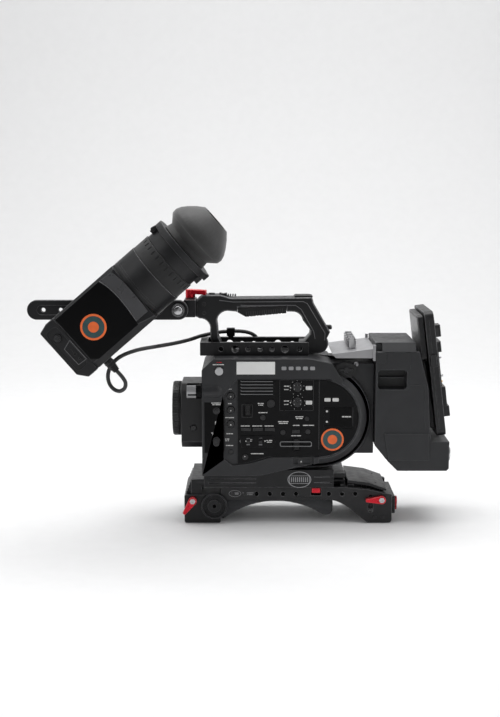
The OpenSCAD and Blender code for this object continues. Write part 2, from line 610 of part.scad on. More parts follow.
// Side view of the handle: a front nose and leg, the top bar and the rear leg
module handle_profile() {
    h = handle_shift;
    difference() {
        polygon(concat(
            [[-8, handle_z - 4], [-8, handle_z - 26], [-4, handle_z - 28]],
            arc(-3, handle_z - 41, 13, 80, -10, 6),
            [[10, handle_z - 55], [15, handle_z - 66], [16, deck_floor_z + 0.2], [32, deck_floor_z + 0.2]],
            [[32 + h, handle_z - 40], [leg_x - 3, handle_z - 40], [leg_x - 3, top_z + 0.3]],
            [[leg_x + 22, top_z + 0.3]],
            arc(leg_x + 22, top_z + 14, 13.7, -60, 30, 5),
            [[leg_x + 38, handle_z - 46], [leg_x + 16, handle_z - 8], [leg_x + 14, handle_z]],
            [[38, handle_z - 1], [24, handle_z + 3], [0, handle_z + 3]]
        ));
        // the gap for the hand
        polygon(concat(
            arc(33, handle_z - 32, 14, 200, 90, 7),
            [[44, handle_z - 19], [56, handle_z - 24], [leg_x - 16, handle_z - 19]],
            arc(leg_x - 12, handle_z - 33, 14, 80, 10, 5),
            [[leg_x + 12, handle_z - 44], [leg_x + 11, handle_z - 50]],
            [[leg_x + 4, top_z + 17], [leg_x - 6, top_z + 17], [leg_x - 6, top_z - 1], [32, top_z - 1],
                [26, top_z + 12], [21, handle_z - 52]]
        ));
    }
}
rocker_x = 27;                           // pin of the zoom rocker
rocker_z = handle_z;
rocker_pin = 0.9;
grip_x0 = 46;
grip_x1 = leg_x - 20;
module handle_frame() color("#141416") difference() {
    union() {
        xz(-hw, hw) handle_profile();
        rod_x(0, handle_z - 41, 3.2, leg_x + 30, leg_x + 41);
    }
    xz(-hw - 1, hw + 1) grip_profile(gap);
    rod_z(12, 0, 4 + gap, handle_z, handle_z + 5);
    box([21, -5.3, rocker_z - 2], [33, 5.3, handle_z + 5]);
    rod_y(rocker_x, rocker_z, rocker_pin + pin_gap, -8, 8);
    // seat of the rail clamp's dovetail
    box([-8.1, -8 - gap, handle_z - 27], [-4, 8 + gap, handle_z - 5]);
}
module grip_profile(g = 0) polygon([[grip_x0 - g, handle_z - 14 + g], [grip_x0 - g, handle_z - 20],
    [57, handle_z - 26],
    [grip_x1 + g, handle_z - 21], [grip_x1 + g, handle_z - 12 + g]]);
// Ribbed rubber under the top bar
module handle_grip() color("#232325") difference() {
    xz(-hw + 1, hw - 1) grip_profile();
    for (i = [0:11]) let (x = 58 + i * (grip_x1 - 60) / 12)
        translate([x, hw, handle_z - 26.3 + (x - 57) * 5 / (grip_x1 - 57)])
        rotate([90, 0, 0]) cylinder(r = 1, h = handle_w);
}
module handle_button() color("#b3121f") rod_z(12, 0, 4, handle_z + 0.9, handle_z + 4.6);
module zoom_rocker() color("#232325") {
    xz(-5, 5) {
        polygon([[22, handle_z + 1.8], [26, rocker_z], [28, rocker_z], [32, handle_z + 1.8],
            [32, handle_z + 4.6], [27, handle_z + 3.8], [22, handle_z + 5]]);
        translate([rocker_x, rocker_z]) circle(1.7);
    }
    rod_y(rocker_x, rocker_z, rocker_pin, -7.6, 7.6);
}

// === viewfinder arm ==================================================================
pivot_x = -30;
pivot_z = handle_z - 13.5;
arm_y = -40;                             // middle of the arm
knuckle_r = arm_h / 2;
pin_r = 5;
rail_lever_at = [-16.3, -2];
rail_stud = 3;

module rail_clamp() color("#141416") difference() {
    union() {
        xz(-30, 12) cut_rect([-24, pivot_z - 11], [-8 - gap, pivot_z + 11.5], 1);
        box([-9, -8, handle_z - 26.7], [-4.3, 8, handle_z - 5.3]);
        xz(-30, -16) translate([pivot_x, pivot_z]) circle(9);
        rod_y(pivot_x, pivot_z, pin_r, arm_y - arm_t / 2 - 4.8, -29);
    }
    rod_z(rail_lever_at.x, rail_lever_at[1], rail_stud, pivot_z + 5, pivot_z + 13);
}
module rail_lever() color("#d0142c") {
    rod_z(rail_lever_at.x, rail_lever_at[1], rail_stud - pin_gap, pivot_z + 5.2, handle_z + 4);
    rod_z(rail_lever_at.x, rail_lever_at[1], 6.4, pivot_z + 11.5 + gap, handle_z + 9.5);
    translate([rail_lever_at.x, rail_lever_at[1], 0]) xy(handle_z + 3.5, handle_z + 9.5)
        polygon([[-4, -4.5], [4.5, 4], [22, -6], [21, -13]]);
}

module evf_arm() color("#19191b") difference() {
    xz(arm_y - arm_t / 2, arm_y + arm_t / 2) {
        translate([pivot_x - arm_l + knuckle_r, pivot_z]) circle(knuckle_r);
        translate([pivot_x - arm_l + knuckle_r, pivot_z - knuckle_r]) square([arm_l - knuckle_r, arm_h]);
        translate([pivot_x, pivot_z]) circle(knuckle_r);
    }
    rod_y(pivot_x, pivot_z, pin_r + pin_gap, arm_y - arm_t, arm_y + arm_t);
    for (i = [0:6]) rod_y(pivot_x - arm_l + 21 + i * 22.4, pivot_z, 2.7, arm_y - arm_t, arm_y + arm_t);
    xz(arm_y - arm_t / 2 - 1, arm_y - arm_t / 2 + 1.2) round_rect([pivot_x - arm_l + 13, pivot_z - 6],
        [pivot_x - 20, pivot_z + 6], 5.9);
}
module pivot_knob() color("#8f9094") difference() {
    rod_y(pivot_x, pivot_z, 8.6, arm_y - arm_t / 2 - 6.5, arm_y - arm_t / 2 - gap);
    rod_y(pivot_x, pivot_z, pin_r + pin_gap, arm_y - arm_t / 2 - 5, arm_y - arm_t / 2);
    rod_y(pivot_x, pivot_z, 2.5, arm_y - arm_t / 2 - 8, arm_y - arm_t / 2 - 4);
}

// === viewfinder ======================================================================
evf_r = evf_d / 2;
evf_y = face_y - 8 - evf_r;              // middle of the viewfinder
evf_far = 38;                            // its flat side towards the camera, from the middle
evf_near = 44;
tilt_x = pivot_x - 85;
tilt_z = pivot_z;
h0 = -pin_from_front;                    // front end of the housing, along its axis
h1 = h0 + evf_l;
module evf_place() translate([tilt_x, evf_y, tilt_z]) rotate([0, -evf_angle, 0]) children();

// Carriage that grips the arm and carries the tilt pin
carriage_l = 32;
boss_y = evf_y + evf_far + 3;            // where the carriage's boss meets the housing's
tilt_r = 4;                              // radius of the tilt pin
arm_near = arm_y - arm_t / 2;
module evf_carriage() color("#202022") difference() {
    union() {
        xz(arm_near - 9, arm_near - gap) round_rect([tilt_x - carriage_l / 2, tilt_z - arm_h / 2 - 6],
            [tilt_x + carriage_l / 2, tilt_z + arm_h / 2 + 6], 3);
        for (s = [-1, 1]) box([tilt_x - carriage_l / 2, arm_near - 9,
            s > 0 ? tilt_z + arm_h / 2 + gap : tilt_z - arm_h / 2 - 6],
            [tilt_x + carriage_l / 2, arm_y + arm_t / 2 + 4,
                s > 0 ? tilt_z + arm_h / 2 + 6 : tilt_z - arm_h / 2 - gap]);
        for (s = [-1, 1]) box([tilt_x - carriage_l / 2, arm_y + arm_t / 2 + gap,
            s > 0 ? tilt_z + arm_h / 2 - 3 : tilt_z - arm_h / 2 - 6],
            [tilt_x + carriage_l / 2, arm_y + arm_t / 2 + 4,
                s > 0 ? tilt_z + arm_h / 2 + 6 : tilt_z - arm_h / 2 + 3]);
        rod_y(tilt_x, tilt_z, 14, boss_y + gap, arm_near - 8);
        // tilt pin
        rod_y(tilt_x, tilt_z, tilt_r, boss_y - 7, boss_y + 1);
    }
    rod_y(tilt_x, tilt_z, 2, arm_near - 8, arm_near + 1);
}

module evf_housing() color("#18181a") {
    evf_place() difference() {
        union() {
            yz(h0, h1) cut_rect([-evf_near, -evf_r], [evf_far, evf_r], 10);
            rod_y(0, 0, 14, evf_far - 1, evf_far + 3);
        }
        yz(h0 + 2, h1 - 3) cut_rect([-evf_near + 6, -evf_r + 3], [evf_far - 3, evf_r - 3], 9);
        rod_x(-3, 0, evf_r - 8, h1 - 4, h1 + 1);
        // flat side panel, set in a little, and the slope behind it
        xz(-evf_near - 1, -evf_near + 1) square_at([h0 - 1, -evf_r + 8.5], [h1 - 26, evf_r - 5.5]);
        xz(-evf_r - 10, evf_far + 10) polygon([[h1 + 1, evf_r - 4], [h1 + 1, evf_r + 4],
            [h1 - 1, evf_r + 4]]);
        side_slope();
        rod_y(0, 0, tilt_r + pin_gap, evf_far - 6, evf_far + 4);
    }
}
// Wedge taken off the near side, from the panel's end to the barrel
module side_slope() translate([0, 0, -evf_r - 1]) linear_extrude(evf_d + 2)
    polygon([[h1 - 24, -evf_near - 1], [h1 - 24, -evf_near], [h1 - 1, -evf_near + 6.5],
        [h1 + 1, -evf_near + 6.5], [h1 + 1, -evf_near - 1]]);

cap_l = 24.5;
module evf_end_cap() color("#1e1e20") evf_place() difference() {
    xz(-evf_near + 1, evf_far - 1) polygon([[h0 - cap_l, -evf_r + 11.5], [h0 - cap_l + 9.4, -evf_r],
        [h0 - eps, -evf_r],
        [h0 - eps, evf_r], [h0 - cap_l + 13, evf_r], [h0 - cap_l, evf_r - 4]]);
    xz(-evf_near, -evf_near + 2) round_rect([h0 - cap_l + 4, -evf_r + 13], [h0 - 4, evf_r - 9], 5);
    rod_y(h0 - 12, evf_r - 22, 5 + gap, -evf_near, -evf_near + 4.2);
    rod_y(h0 - 12, -3, 3.2, -evf_near, -evf_near + 2.6);
    // pocket that the housing's screws reach into
    rod_x(0, 0, 14, h0 - 12, h0 + 1);
}

// Joystick of the end cap, in its round seat
module evf_joystick() color("#2a2a2c") evf_place() {
    rod_y(h0 - 12, evf_r - 22, 4.6, -evf_near - 0.2, -evf_near + 2.8);
    rod_y(h0 - 12, evf_r - 22, 3, -evf_near - 2.6, -evf_near);
}

barrel_l = 31.5;                         // plain part of the barrel
ring_l = 22;                             // focus ring
tube_l = 16;                             // part between the ring and the flange
flange_l = 9;
neck_l = 8;
b1 = h1 + barrel_l;
b2 = b1 + ring_l;
b3 = b2 + tube_l;
b4 = b3 + flange_l;
b5 = b4 + neck_l;
sleeve_r = evf_r - 5;
neck_r = evf_r - 10;
module evf_barrel() color("#222224") evf_place() difference() {
    union() {
        rod_x(0, 0, evf_r, h1, b1);
        rod_x(0, 0, sleeve_r, b1 - 1, b3);
        rod_x(0, 0, evf_r - 2, b2 + gap, b3);
        // hinge knuckle above, latch block below
        translate([b3 - 9, -9, evf_r - 5]) cube([8.7, 18, 7]);
        translate([b3 - 9, -7, -evf_r - 2.5]) cube([8.7, 14, 6]);
    }
    rod_x(0, 0, sleeve_r - 3, h1 - 1, b3 + 1);
    rod_y(flip_t, flip_n, flip_pin + pin_gap, -10, 10);
}
// Frame that carries the eyecup; it swings up on its hinge
flip_r = 3;                              // radius of the hinge's outer knuckles
flip_pin = 1.6;                          // radius of the hinge's pin
flip_t = b3 - 4.2;
flip_n = evf_r + 1;
module eyepiece() color("#202022") evf_place() difference() {
    union() {
        rod_x(0, 0, evf_r + 3, b3 + gap, b4);
        rod_x(0, 0, neck_r, b4 - 1, b5);
        for (s = [-1, 1]) rod_y(flip_t, flip_n, flip_r, s > 0 ? 9.3 : -13, s > 0 ? 13 : -9.3);
        rod_y(flip_t, flip_n, flip_pin, -12, 12);
        for (s = [-1, 1]) box([flip_t, s > 0 ? 9.3 : -13, flip_n - flip_r + 1],
            [b3 + 1, s > 0 ? 13 : -9.3, flip_n + 2]);
        // latch tongue
        box([b3 + gap, -6, -evf_r - 5.5], [b4, 6, -evf_r + 2]);
    }
    rod_x(0, 0, neck_r - 4, b3 - 1, b5 + 1);
}
module focus_ring() color("#262628") evf_place() difference() {
    rod_x(0, 0, evf_r - 0.7, b1 + gap, b2);
    rod_x(0, 0, sleeve_r + pin_gap, b1, b2 + 1);
    for (a = [0:12:348]) rotate([a, 0, 0]) box([b1 + 14, -1, evf_r - 1.5], [b2 - 2, 1, evf_r + 1]);
}
cup_t = 2.6;
opening_r = 18;
// Profile of the eyecup: radius against the distance past the neck
rim_at = 17.5;                           // the cup's widest edge, past the neck's foot
function cup_line(g) = [[neck_r + gap + cup_t - g, 0], [neck_r + 1.5 - g, 8],
    [evf_r + 0.6 - g, rim_at - g / 2],
    [evf_r + 1.2 - g, rim_at + 6], [evf_r - 1.4 - g, rim_at + 12.5], [evf_r - 5.5 - g, cup_l - 15.5],
    [evf_r - 13 - g, cup_l - 7], [opening_r + 2, cup_l - g]];
module eyecup() color("#2c2c2f") evf_place() translate([b4 + gap, 0, 0]) rotate([0, 90, 0])
    rotate_extrude($fn = 96)
    polygon(concat(cup_line(0), [[opening_r, cup_l - 0.6]],
        [for (i = [7:-1:2]) cup_line(cup_t)[i] + (i == 7 ? [-1.5, 0] : [0, 0])],
        [[neck_r + gap, neck_l + 1], [neck_r + gap, 0]]));

module evf_optics() color("#3a4750") evf_place() {
    rod_x(0, 0, sleeve_r - 3 - eps, b2, b2 + 7);
    rod_x(0, 0, sleeve_r - 3 - eps, b1 - 6, b1 - 2);
    // display panel, held at the housing's sides
    yz(h0 + 30, h0 + 34) square_at([-evf_near + 6, -26], [evf_far - 3, 26]);
}

// Plug of the viewfinder's lead, in the underside of the housing
plug_t = h0 + 7.3;
plug_dir = [sin(evf_angle), 0, -cos(evf_angle)];
relief_end = 19;                         // end of the strain relief, below the housing
module cable_plug() color("#1b1b1d") evf_place() {
    translate([plug_t, 0, -evf_r - 10]) cylinder(r = 6, h = 9.9);
    translate([plug_t, 0, -evf_r - relief_end]) cylinder(r1 = 3.6, r2 = 5.2, h = relief_end - 9.99);
}

// === viewfinder lead =================================================================
cable_d = 5;
plug_end = [tilt_x, evf_y, tilt_z] + [cos(evf_angle) * plug_t, 0,
    sin(evf_angle) * plug_t] + plug_dir * (evf_r + relief_end + eps);
// Route of the lead after the plug's end: down, round one small loop, behind the handle's
// front leg, through the clip and down beside the deck
clip_at = [36.5, 22, 245.5];
route_tail = [[-93.3, -104, 197.7], [-94.5, -102.5, 190], [-101, -100.5, 185.8], [-108.5, -98.5, 188],
    [-114, -96.5, 194.5], [-116, -95, 204], [-113.5, -93.5, 214], [-106.5, -91, 223.5], [-96, -87, 230],
    [-78, -77, 235], [-56, -58, 236.5], [-36, -34, 237], [-18, -8, 238], [-4, 12, 240.3],
    [10, 19.5, 242.6], [23, 21.5, 244.6], clip_at, [48, 24.5, 245.3], [59, 29, 243.2], [68, 34, 238.5],
    [74, 36.5, 231], socket_at];
function hermite(p0, p1, p2, p3, t) = let (a = (p2 - p0) / 2, b = (p3 - p1) / 2)
    p1 * (2 * t * t * t - 3 * t * t + 1) + a * (t * t * t - 2 * t * t + t)
    + p2 * (3 * t * t - 2 * t * t * t) + b * (t * t * t - t * t);
route = concat([plug_end, plug_end + plug_dir * 9], route_tail);
function route_at(i) = route[max(0, min(len(route) - 1, i))];
per_step = 3;
spine = concat([for (i = [0:len(route) - 2], k = [0:per_step - 1])
    hermite(i == 0 ? plug_end - plug_dir * 9 : route_at(i - 1), route_at(i), route_at(i + 1),
        route_at(i + 2), k / per_step)],
    [route[len(route) - 1]]);
function unit(v) = v / norm(v);
function tangent(i) = i == 0 ? plug_dir
    : i == len(spine) - 1 ? [0, 0, -1]
    : unit(spine[i + 1] - spine[i - 1]);
function carried(n, t) = unit(n - t * (n * t));
function frames(i, n) = i == len(spine) ? [] : let (m = carried(n, tangent(i)))
    concat([m], frames(i + 1, m));
normals = frames(0, [0, 1, 0]);
sides = 10;
module evf_cable() color("#242426") polyhedron(
    points = [for (i = [0:len(spine) - 1], k = [0:sides - 1]) let (a = 360 * k / sides, n = normals[i],
        b = cross(tangent(i), n))
        spine[i] + (n * cos(a) + b * sin(a)) * cable_d / 2],
    faces = concat([[for (k = [0:sides - 1]) k]],
        [for (i = [0:len(spine) - 2], k = [0:sides - 1]) let (j = (k + 1) % sides)
            [i * sides + k, (i + 1) * sides + k, (i + 1) * sides + j, i * sides + j]],
        [[for (k = [sides - 1:-1:0]) (len(spine) - 1) * sides + k]]));

// Clip on the deck that holds the lead
module cable_clip() color("#1a1a1c") difference() {
    union() {
        box([clip_at.x - 5.5, clip_at.y - 5, clip_at.z - 6],
            [clip_at.x + 5.5, clip_at.y + 5, clip_at.z + 4.5]);
        box([clip_at.x - 3.5, clip_at.y - 4, deck_z1 + eps],
            [clip_at.x + 3.5, clip_at.y + 4, clip_at.z - 5.9]);
    }
    rod_x(clip_at.y, clip_at.z, cable_d / 2 + 0.9, clip_at.x - 8, clip_at.x + 8);
}

// === rear extension ==================================================================
ext_x = rear_x + gap;                    // front face of the extension
ext_w = body_w / 2 + 0.5;
ext_z0 = top_z + 20 - ext_h;             // underside
ext_z1 = top_z + 20;
ext_x1 = ext_x + ext_l;
module extension_body() color("#333336") difference() {
    union() {
        xz(-ext_w, ext_w) polygon([[ext_x, ext_z0 + 34], [ext_x, ext_z1 - 11], [ext_x + 56, ext_z1 - 11],
            [ext_x + 62, ext_z1 - 34], [ext_x + 68, ext_z1 - 58], [ext_x + 72, ext_z0 + 48],
                [ext_x + 74, ext_z0 + 39],
            [ext_x1, ext_z0 + 39], [ext_x1, ext_z0 + 3], [ext_x1 - 3, ext_z0], [ext_x + 30, ext_z0],
                [ext_x + 17, ext_z0 + 13]]);
        xz(-ext_w + 8, ext_w - 8) polygon([[ext_x, ext_z1 - 12], [ext_x, ext_z1], [ext_x + 52, ext_z1],
            [ext_x + 56, ext_z1 - 12]]);
        for (s = [-1, 1]) translate([ext_x + 8, 0, 0]) yz(0, 44)
            polygon([[s * (ext_w - 8.1), ext_z1], [s * ext_w, ext_z1 - 11.1],
                [s * (ext_w - 8.1), ext_z1 - 11.1]]);
        // fuller lower part
        for (s = [-1, 1]) xz(s > 0 ? ext_w - 1 : -ext_w - 2, s > 0 ? ext_w + 2 : -ext_w + 1)
            polygon([[ext_x + 18, ext_z0 + 14],
            [ext_x + 12, ext_z0 + 50], [ext_x + 70, ext_z0 + 50], [ext_x + 71, ext_z0 + 14]]);
    }
    // recess beside the latch
    for (s = [-1, 1]) xz(s > 0 ? ext_w - 12 : -ext_w - 3, s > 0 ? ext_w + 3 : -ext_w + 12)
        round_rect([ext_x + 3, ext_z1 - 60], [ext_x + 40, ext_z1 - 35], 4);
    // hollow inside
    xz(-ext_w + 14, ext_w - 14) polygon([[ext_x + 3, ext_z0 + 36], [ext_x + 3, ext_z1 - 14],
        [ext_x + 53, ext_z1 - 14],
        [ext_x + 59, ext_z1 - 35], [ext_x + 65, ext_z1 - 59], [ext_x + 69, ext_z0 + 46],
            [ext_x + 71, ext_z0 + 36],
        [ext_x1 - 11, ext_z0 + 36], [ext_x1 - 11, ext_z0 + 3.5], [ext_x + 31, ext_z0 + 3.5],
            [ext_x + 19, ext_z0 + 16]]);
    // seat of the rear connector
    rod_x(power_y, power_z, 8.8, ext_x1 - 7.5, ext_x1 + 1);
}

// Wedge-shaped deck that reaches forward over the camera, with its latch
deck_front = rear_x - 56;
video_x = deck_front + 27;
video_y = [-28, -8, 12, 32];
power_y = -ext_w + 22;
power_z = ext_z0 + 21;
module extension_deck() color("#c9c9cb") {
    difference() {
        xz(-ext_w + 3, ext_w - 3) polygon([[deck_front + 5, top_z + 0.2], [deck_front, top_z + 6],
            [ext_x - gap, top_z + 13], [ext_x - gap, top_z + 0.2]]);
        for (y = video_y) rod_z(video_x, y, 3.3, top_z + 4, ext_z1);
    }
    for (s = [-1, 1]) xz(s > 0 ? ext_w - 2.9 : -ext_w, s > 0 ? ext_w : -ext_w + 2.9)
        polygon([[ext_x - 4, top_z - 3], [ext_x - 4, ext_z1 - 2],
        [ext_x - gap, ext_z1 - 2], [ext_x - gap, top_z - 3]]);
}
// Battery plate: a slab that leans back, with its guide blocks
bat_x = ext_x + 82;                      // foot of the plate's front face
bat_z = ext_z0 + 39 + 5;
bat_h = 164;
bat_t = 12;
pin_y = [-15, 15];                       // contact pins, across and up the plate
pin_z = [74, 98];
contact_r = 1.85;
module bat_place() translate([bat_x, 0, bat_z]) rotate([0, -bat_lean, 0]) children();
module battery_plate() color("#313134") bat_place() difference() {
    union() {
        yz(0, bat_t) round_rect([-bat_w / 2, 0], [bat_w / 2, bat_h], 8);
        // spine towards the extension
        box([-5, -30, 8], [0.1, 30, 98]);
        for (y = [-1, 1]) box([bat_t - 0.1, y * 24 - 9, 128], [bat_t + 9, y * 24 + 9, 144]);
        box([bat_t - 0.1, -34, 108], [bat_t + 7.5, 34, 122]);
        box([bat_t - 0.1, -30, 62], [bat_t + 4, 30, 108.1]);
        box([bat_t - 0.1, -34, 36], [bat_t + 7.5, 34, 62.1]);
        for (y = [-1, 1]) box([bat_t - 0.1, y * 24 - 9, 22], [bat_t + 10, y * 24 + 9, 36.1]);
    }
    // groove round the edge, between the two halves of the slab
    for (s = [-1, 1]) box([4.2, s * bat_w / 2 - 0.8, 10], [5.2, s * bat_w / 2 + 0.8, bat_h - 10]);
    // seat of the release tab
    box([1.5, -bat_w / 2 - 1, 92], [9.5, -bat_w / 2 + 9, 108]);
    for (y = pin_y, z = pin_z) rod_x(y, z, contact_r, bat_t + 0.1, bat_t + 5);
    for (s = [-1, 1]) box([bat_t + 4, s * 22 - 5, 42], [bat_t + 12, s * 22 + 5, 52]);
}
module battery_release() color("#4a4a4d") bat_place() box([1.5 + gap, -bat_w / 2 - 3, 92 + gap],
    [9.5 - gap, -bat_w / 2 + 4.5, 108 - gap]);

// The video connectors on the deck
module video_connector() {
    difference() {
        union() {
            cylinder(r = 3.3 - eps, h = 10);
            translate([0, 0, 7]) cylinder(r = 5.6, h = 9);
            translate([0, 0, 15.9]) cylinder(r = 4.7, h = 4);
            for (a = [0, 180]) rotate([0, 0, a]) translate([4.2, 0, 17.6]) rotate([0, 90, 0])
                cylinder(r = 1, h = 1.6);
        }
        translate([0, 0, 12]) cylinder(r = 3.9, h = 10);
    }
    translate([0, 0, 11.9]) cylinder(r = 1.1, h = 6);
}
// Video connectors, the battery plate's contact pins and the power connector
module connectors() {
    color("#c8c9cc") for (y = video_y) translate([video_x, y, top_z + 4]) video_connector();
    color("#c79a5b") bat_place() for (y = pin_y, z = pin_z) {
        rod_x(y, z, contact_r, bat_t + 0.1, bat_t + 7);
        translate([bat_t + 7, y, z]) sphere(contact_r);
    }
    color("#b9b9bc") difference() {
        union() {
            rod_x(power_y, power_z, 8.8, ext_x1 - 7.5, ext_x1 + 2);
            rod_x(power_y, power_z, 11.5, ext_x1 + 0.2, ext_x1 + 3.4);
        }
        rod_x(power_y, power_z, 7.2, ext_x1 - 5, ext_x1 + 4);
    }
    color("#c79a5b") for (a = [45:90:315]) rod_x(power_y + 3.6 * cos(a), power_z + 3.6 * sin(a), 0.9,
        ext_x1 - 5.1, ext_x1 + 1);
}

base_plate();
side_plates();
rear_cover();
front_block();
rear_bracket();
shoulder_pad();
front_lever();
rear_lever();
back_lever();
release_button();
rosettes();
base_screws();
camera_plate();
shell_left();
shell_right();
control_panel();
evf_joystick();
media_door();
sensor_block();
lens_mount();
mount_cap();
nd_dial();
lens_release();
rec_button();
for (i = [0:2]) assign_button(i);
panel_buttons();
for (i = [0:1]) audio_dial(i);
thumb_wheel(menu_at);  // menu_dial
thumb_wheel(iris_at);  // iris_wheel
power_switch();
slide_switch(0);  // gain_switch
slide_switch(1);  // white_balance_switch
deck_plate();
handle_frame();
handle_grip();
handle_button();
zoom_rocker();
rail_clamp();
rail_lever();
cable_clip();
evf_cable();
evf_arm();
pivot_knob();
evf_carriage();
evf_housing();
evf_end_cap();
evf_barrel();
focus_ring();
eyepiece();
eyecup();
evf_optics();
cable_plug();
extension_body();
extension_deck();
connectors();
battery_plate();
battery_release();
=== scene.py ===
"""Looks of the shoulder-mount cinema camera rig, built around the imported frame."""
import json
import random
from math import cos, exp, pi, radians, sin

import bmesh
import bpy
from mathutils import Matrix, Vector
from mathutils.bvhtree import BVHTree


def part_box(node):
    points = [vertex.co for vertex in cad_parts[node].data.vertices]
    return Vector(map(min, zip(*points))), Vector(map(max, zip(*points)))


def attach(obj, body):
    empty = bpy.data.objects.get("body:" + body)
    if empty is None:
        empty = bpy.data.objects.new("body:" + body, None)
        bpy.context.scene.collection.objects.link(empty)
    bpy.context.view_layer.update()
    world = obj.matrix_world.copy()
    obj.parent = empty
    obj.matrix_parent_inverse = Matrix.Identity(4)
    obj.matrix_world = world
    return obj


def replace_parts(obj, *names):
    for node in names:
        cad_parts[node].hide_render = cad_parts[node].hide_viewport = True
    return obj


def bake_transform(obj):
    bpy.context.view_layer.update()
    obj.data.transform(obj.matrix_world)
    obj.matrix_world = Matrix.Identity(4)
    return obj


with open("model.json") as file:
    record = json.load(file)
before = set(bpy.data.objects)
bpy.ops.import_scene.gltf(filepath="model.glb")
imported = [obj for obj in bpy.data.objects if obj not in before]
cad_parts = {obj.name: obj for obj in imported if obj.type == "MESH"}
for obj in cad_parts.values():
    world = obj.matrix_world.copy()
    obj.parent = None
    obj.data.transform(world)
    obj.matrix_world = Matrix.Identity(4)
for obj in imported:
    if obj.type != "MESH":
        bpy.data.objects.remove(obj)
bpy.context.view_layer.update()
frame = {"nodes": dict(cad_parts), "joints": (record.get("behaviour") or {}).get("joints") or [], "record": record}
NODES = frame["nodes"]
JOINTS = {joint["name"]: joint for joint in frame["joints"]}
MM = 0.001
BODY_OF = {node: body for body, nodes in frame["record"]["behaviour"]["bodies"].items() for node in nodes}


def placed(name, data):
    """A new object in the scene."""
    made = bpy.data.objects.new(name, data)
    bpy.context.scene.collection.objects.link(made)
    return made


def applied(piece):
    """Runs a piece's modifiers into its mesh, and returns that mesh."""
    first = piece.data
    mesh = bpy.data.meshes.new_from_object(piece.evaluated_get(bpy.context.evaluated_depsgraph_get()))
    piece.modifiers.clear()
    piece.data = mesh
    bpy.data.meshes.remove(first)
    return mesh


# === camera ==========================================================================
CAMERA_AT = (0.0623, -1.596, 0.456)             # metres
CAMERA_LENS, CAMERA_SENSOR = 60.88, 36          # millimetres
CAMERA_DOWN = 8.7                               # degrees below level


def make_camera():
    """The viewpoint: level with the handle, square to the operator's side, a little from above."""
    data = bpy.data.cameras.new("view_camera")
    data.lens = CAMERA_LENS
    data.sensor_width = CAMERA_SENSOR
    camera = placed("view_camera", data)
    camera.location = CAMERA_AT
    camera.rotation_euler = (radians(90 - CAMERA_DOWN), 0, 0)
    bpy.context.scene.camera = camera


make_camera()


# === viewfinder lead: its route, in millimetres ======================================
CABLE_D = 5.0
LEAD_STEPS = 6                                  # points of the curve between two points of the route
PLUG_ALONG, PLUG_ROOT, PLUG_TIP = -36.9, 50.8, 59.85        # the plug, from the tilt axis
EVF_LEAN = radians(41)
TILT = Vector((-115, -104.8, 281.5))          # the viewfinder's tilt axis, at its middle
ALONG = Vector((cos(EVF_LEAN), 0, sin(EVF_LEAN)))
ACROSS = Vector((-sin(EVF_LEAN), 0, cos(EVF_LEAN)))
PLUG_END = TILT + ALONG * PLUG_ALONG - ACROSS * PLUG_TIP
ROUTE_TAIL = [
    (-93.3, -104, 197.7), (-94.5, -102.5, 190), (-101, -100.5, 185.8), (-108.5, -98.5, 188), (-114, -96.5,
                                                                                              194.5),
    (-116, -95, 204), (-113.5, -93.5, 214), (-106.5, -91, 223.5), (-96, -87, 230), (-78, -77, 235),
    (-56, -58, 236.5), (-36, -34, 237), (-18, -8, 238), (-4, 12, 240.3), (10, 19.5, 242.6), (23, 21.5, 244.6),
    (36.5, 22, 245.5), (48, 24.5, 245.3), (59, 29, 243.2), (68, 34, 238.5), (74, 36.5, 231), (78, 37, 221.6),
]


def smooth_route(points, before):
    """A curve through the points, as the source of the CAD solid runs it."""
    spine = []
    for i in range(len(points) - 1):
        p1, p2 = points[i], points[i + 1]
        p0 = points[i - 1] if i else before
        p3 = points[min(i + 2, len(points) - 1)]
        a, b = (p2 - p0) / 2, (p3 - p1) / 2
        for k in range(LEAD_STEPS):
            t = k / LEAD_STEPS
            spine.append(p1 * (2 * t**3 - 3 * t**2 + 1) + a * (t**3 - 2 * t**2 + t)
                         + p2 * (3 * t**2 - 2 * t**3) + b * (t**3 - t**2))
    return spine + [points[-1]]


# === places in the frame, in millimetres =============================================
def low(node):
    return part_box(node)[0] / MM


def high(node):
    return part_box(node)[1] / MM


def middle(node):
    return (low(node) + high(node)) / 2


def frame_matrix(origin, x_axis, y_axis):
    """A place in space: millimetres along x_axis, y_axis and their cross product, from origin."""
    x, y = Vector(x_axis).normalized(), Vector(y_axis).normalized()
    z = x.cross(y)
    turn = Matrix((x, y, z)).transposed().to_4x4()
    return Matrix.Translation(Vector(origin)) @ turn


UPRIGHT = Matrix.Identity(4)


# === materials =======================================================================
def new_tree(name):
    material = bpy.data.materials.new(name)
    material.use_nodes = True
    nodes, links = material.node_tree.nodes, material.node_tree.links
    return material, nodes, links, nodes["Principled BSDF"]


def texture(nodes, links, kind, scale, detail=3.0):
    """A noise or cell texture in the piece's own coordinates; scale is in repeats per metre."""
    node = nodes.new("ShaderNodeTexNoise" if kind == "noise" else "ShaderNodeTexVoronoi")
    node.inputs["Scale"].default_value = scale
    if kind == "noise":
        node.inputs["Detail"].default_value = detail
    coordinates = nodes.get("Texture Coordinate") or nodes.new("ShaderNodeTexCoord")
    links.new(coordinates.outputs["Object"], node.inputs["Vector"])
    return node.outputs["Fac"] if kind == "noise" else node.outputs["Distance"]


def ranged(nodes, links, value, low_out, high_out, low_in=0.3, high_in=0.7):
    node = nodes.new("ShaderNodeMapRange")
    node.inputs["From Min"].default_value = low_in
    node.inputs["From Max"].default_value = high_in
    node.inputs["To Min"].default_value = low_out
    node.inputs["To Max"].default_value = high_out
    links.new(value, node.inputs["Value"])
    return node.outputs["Result"]


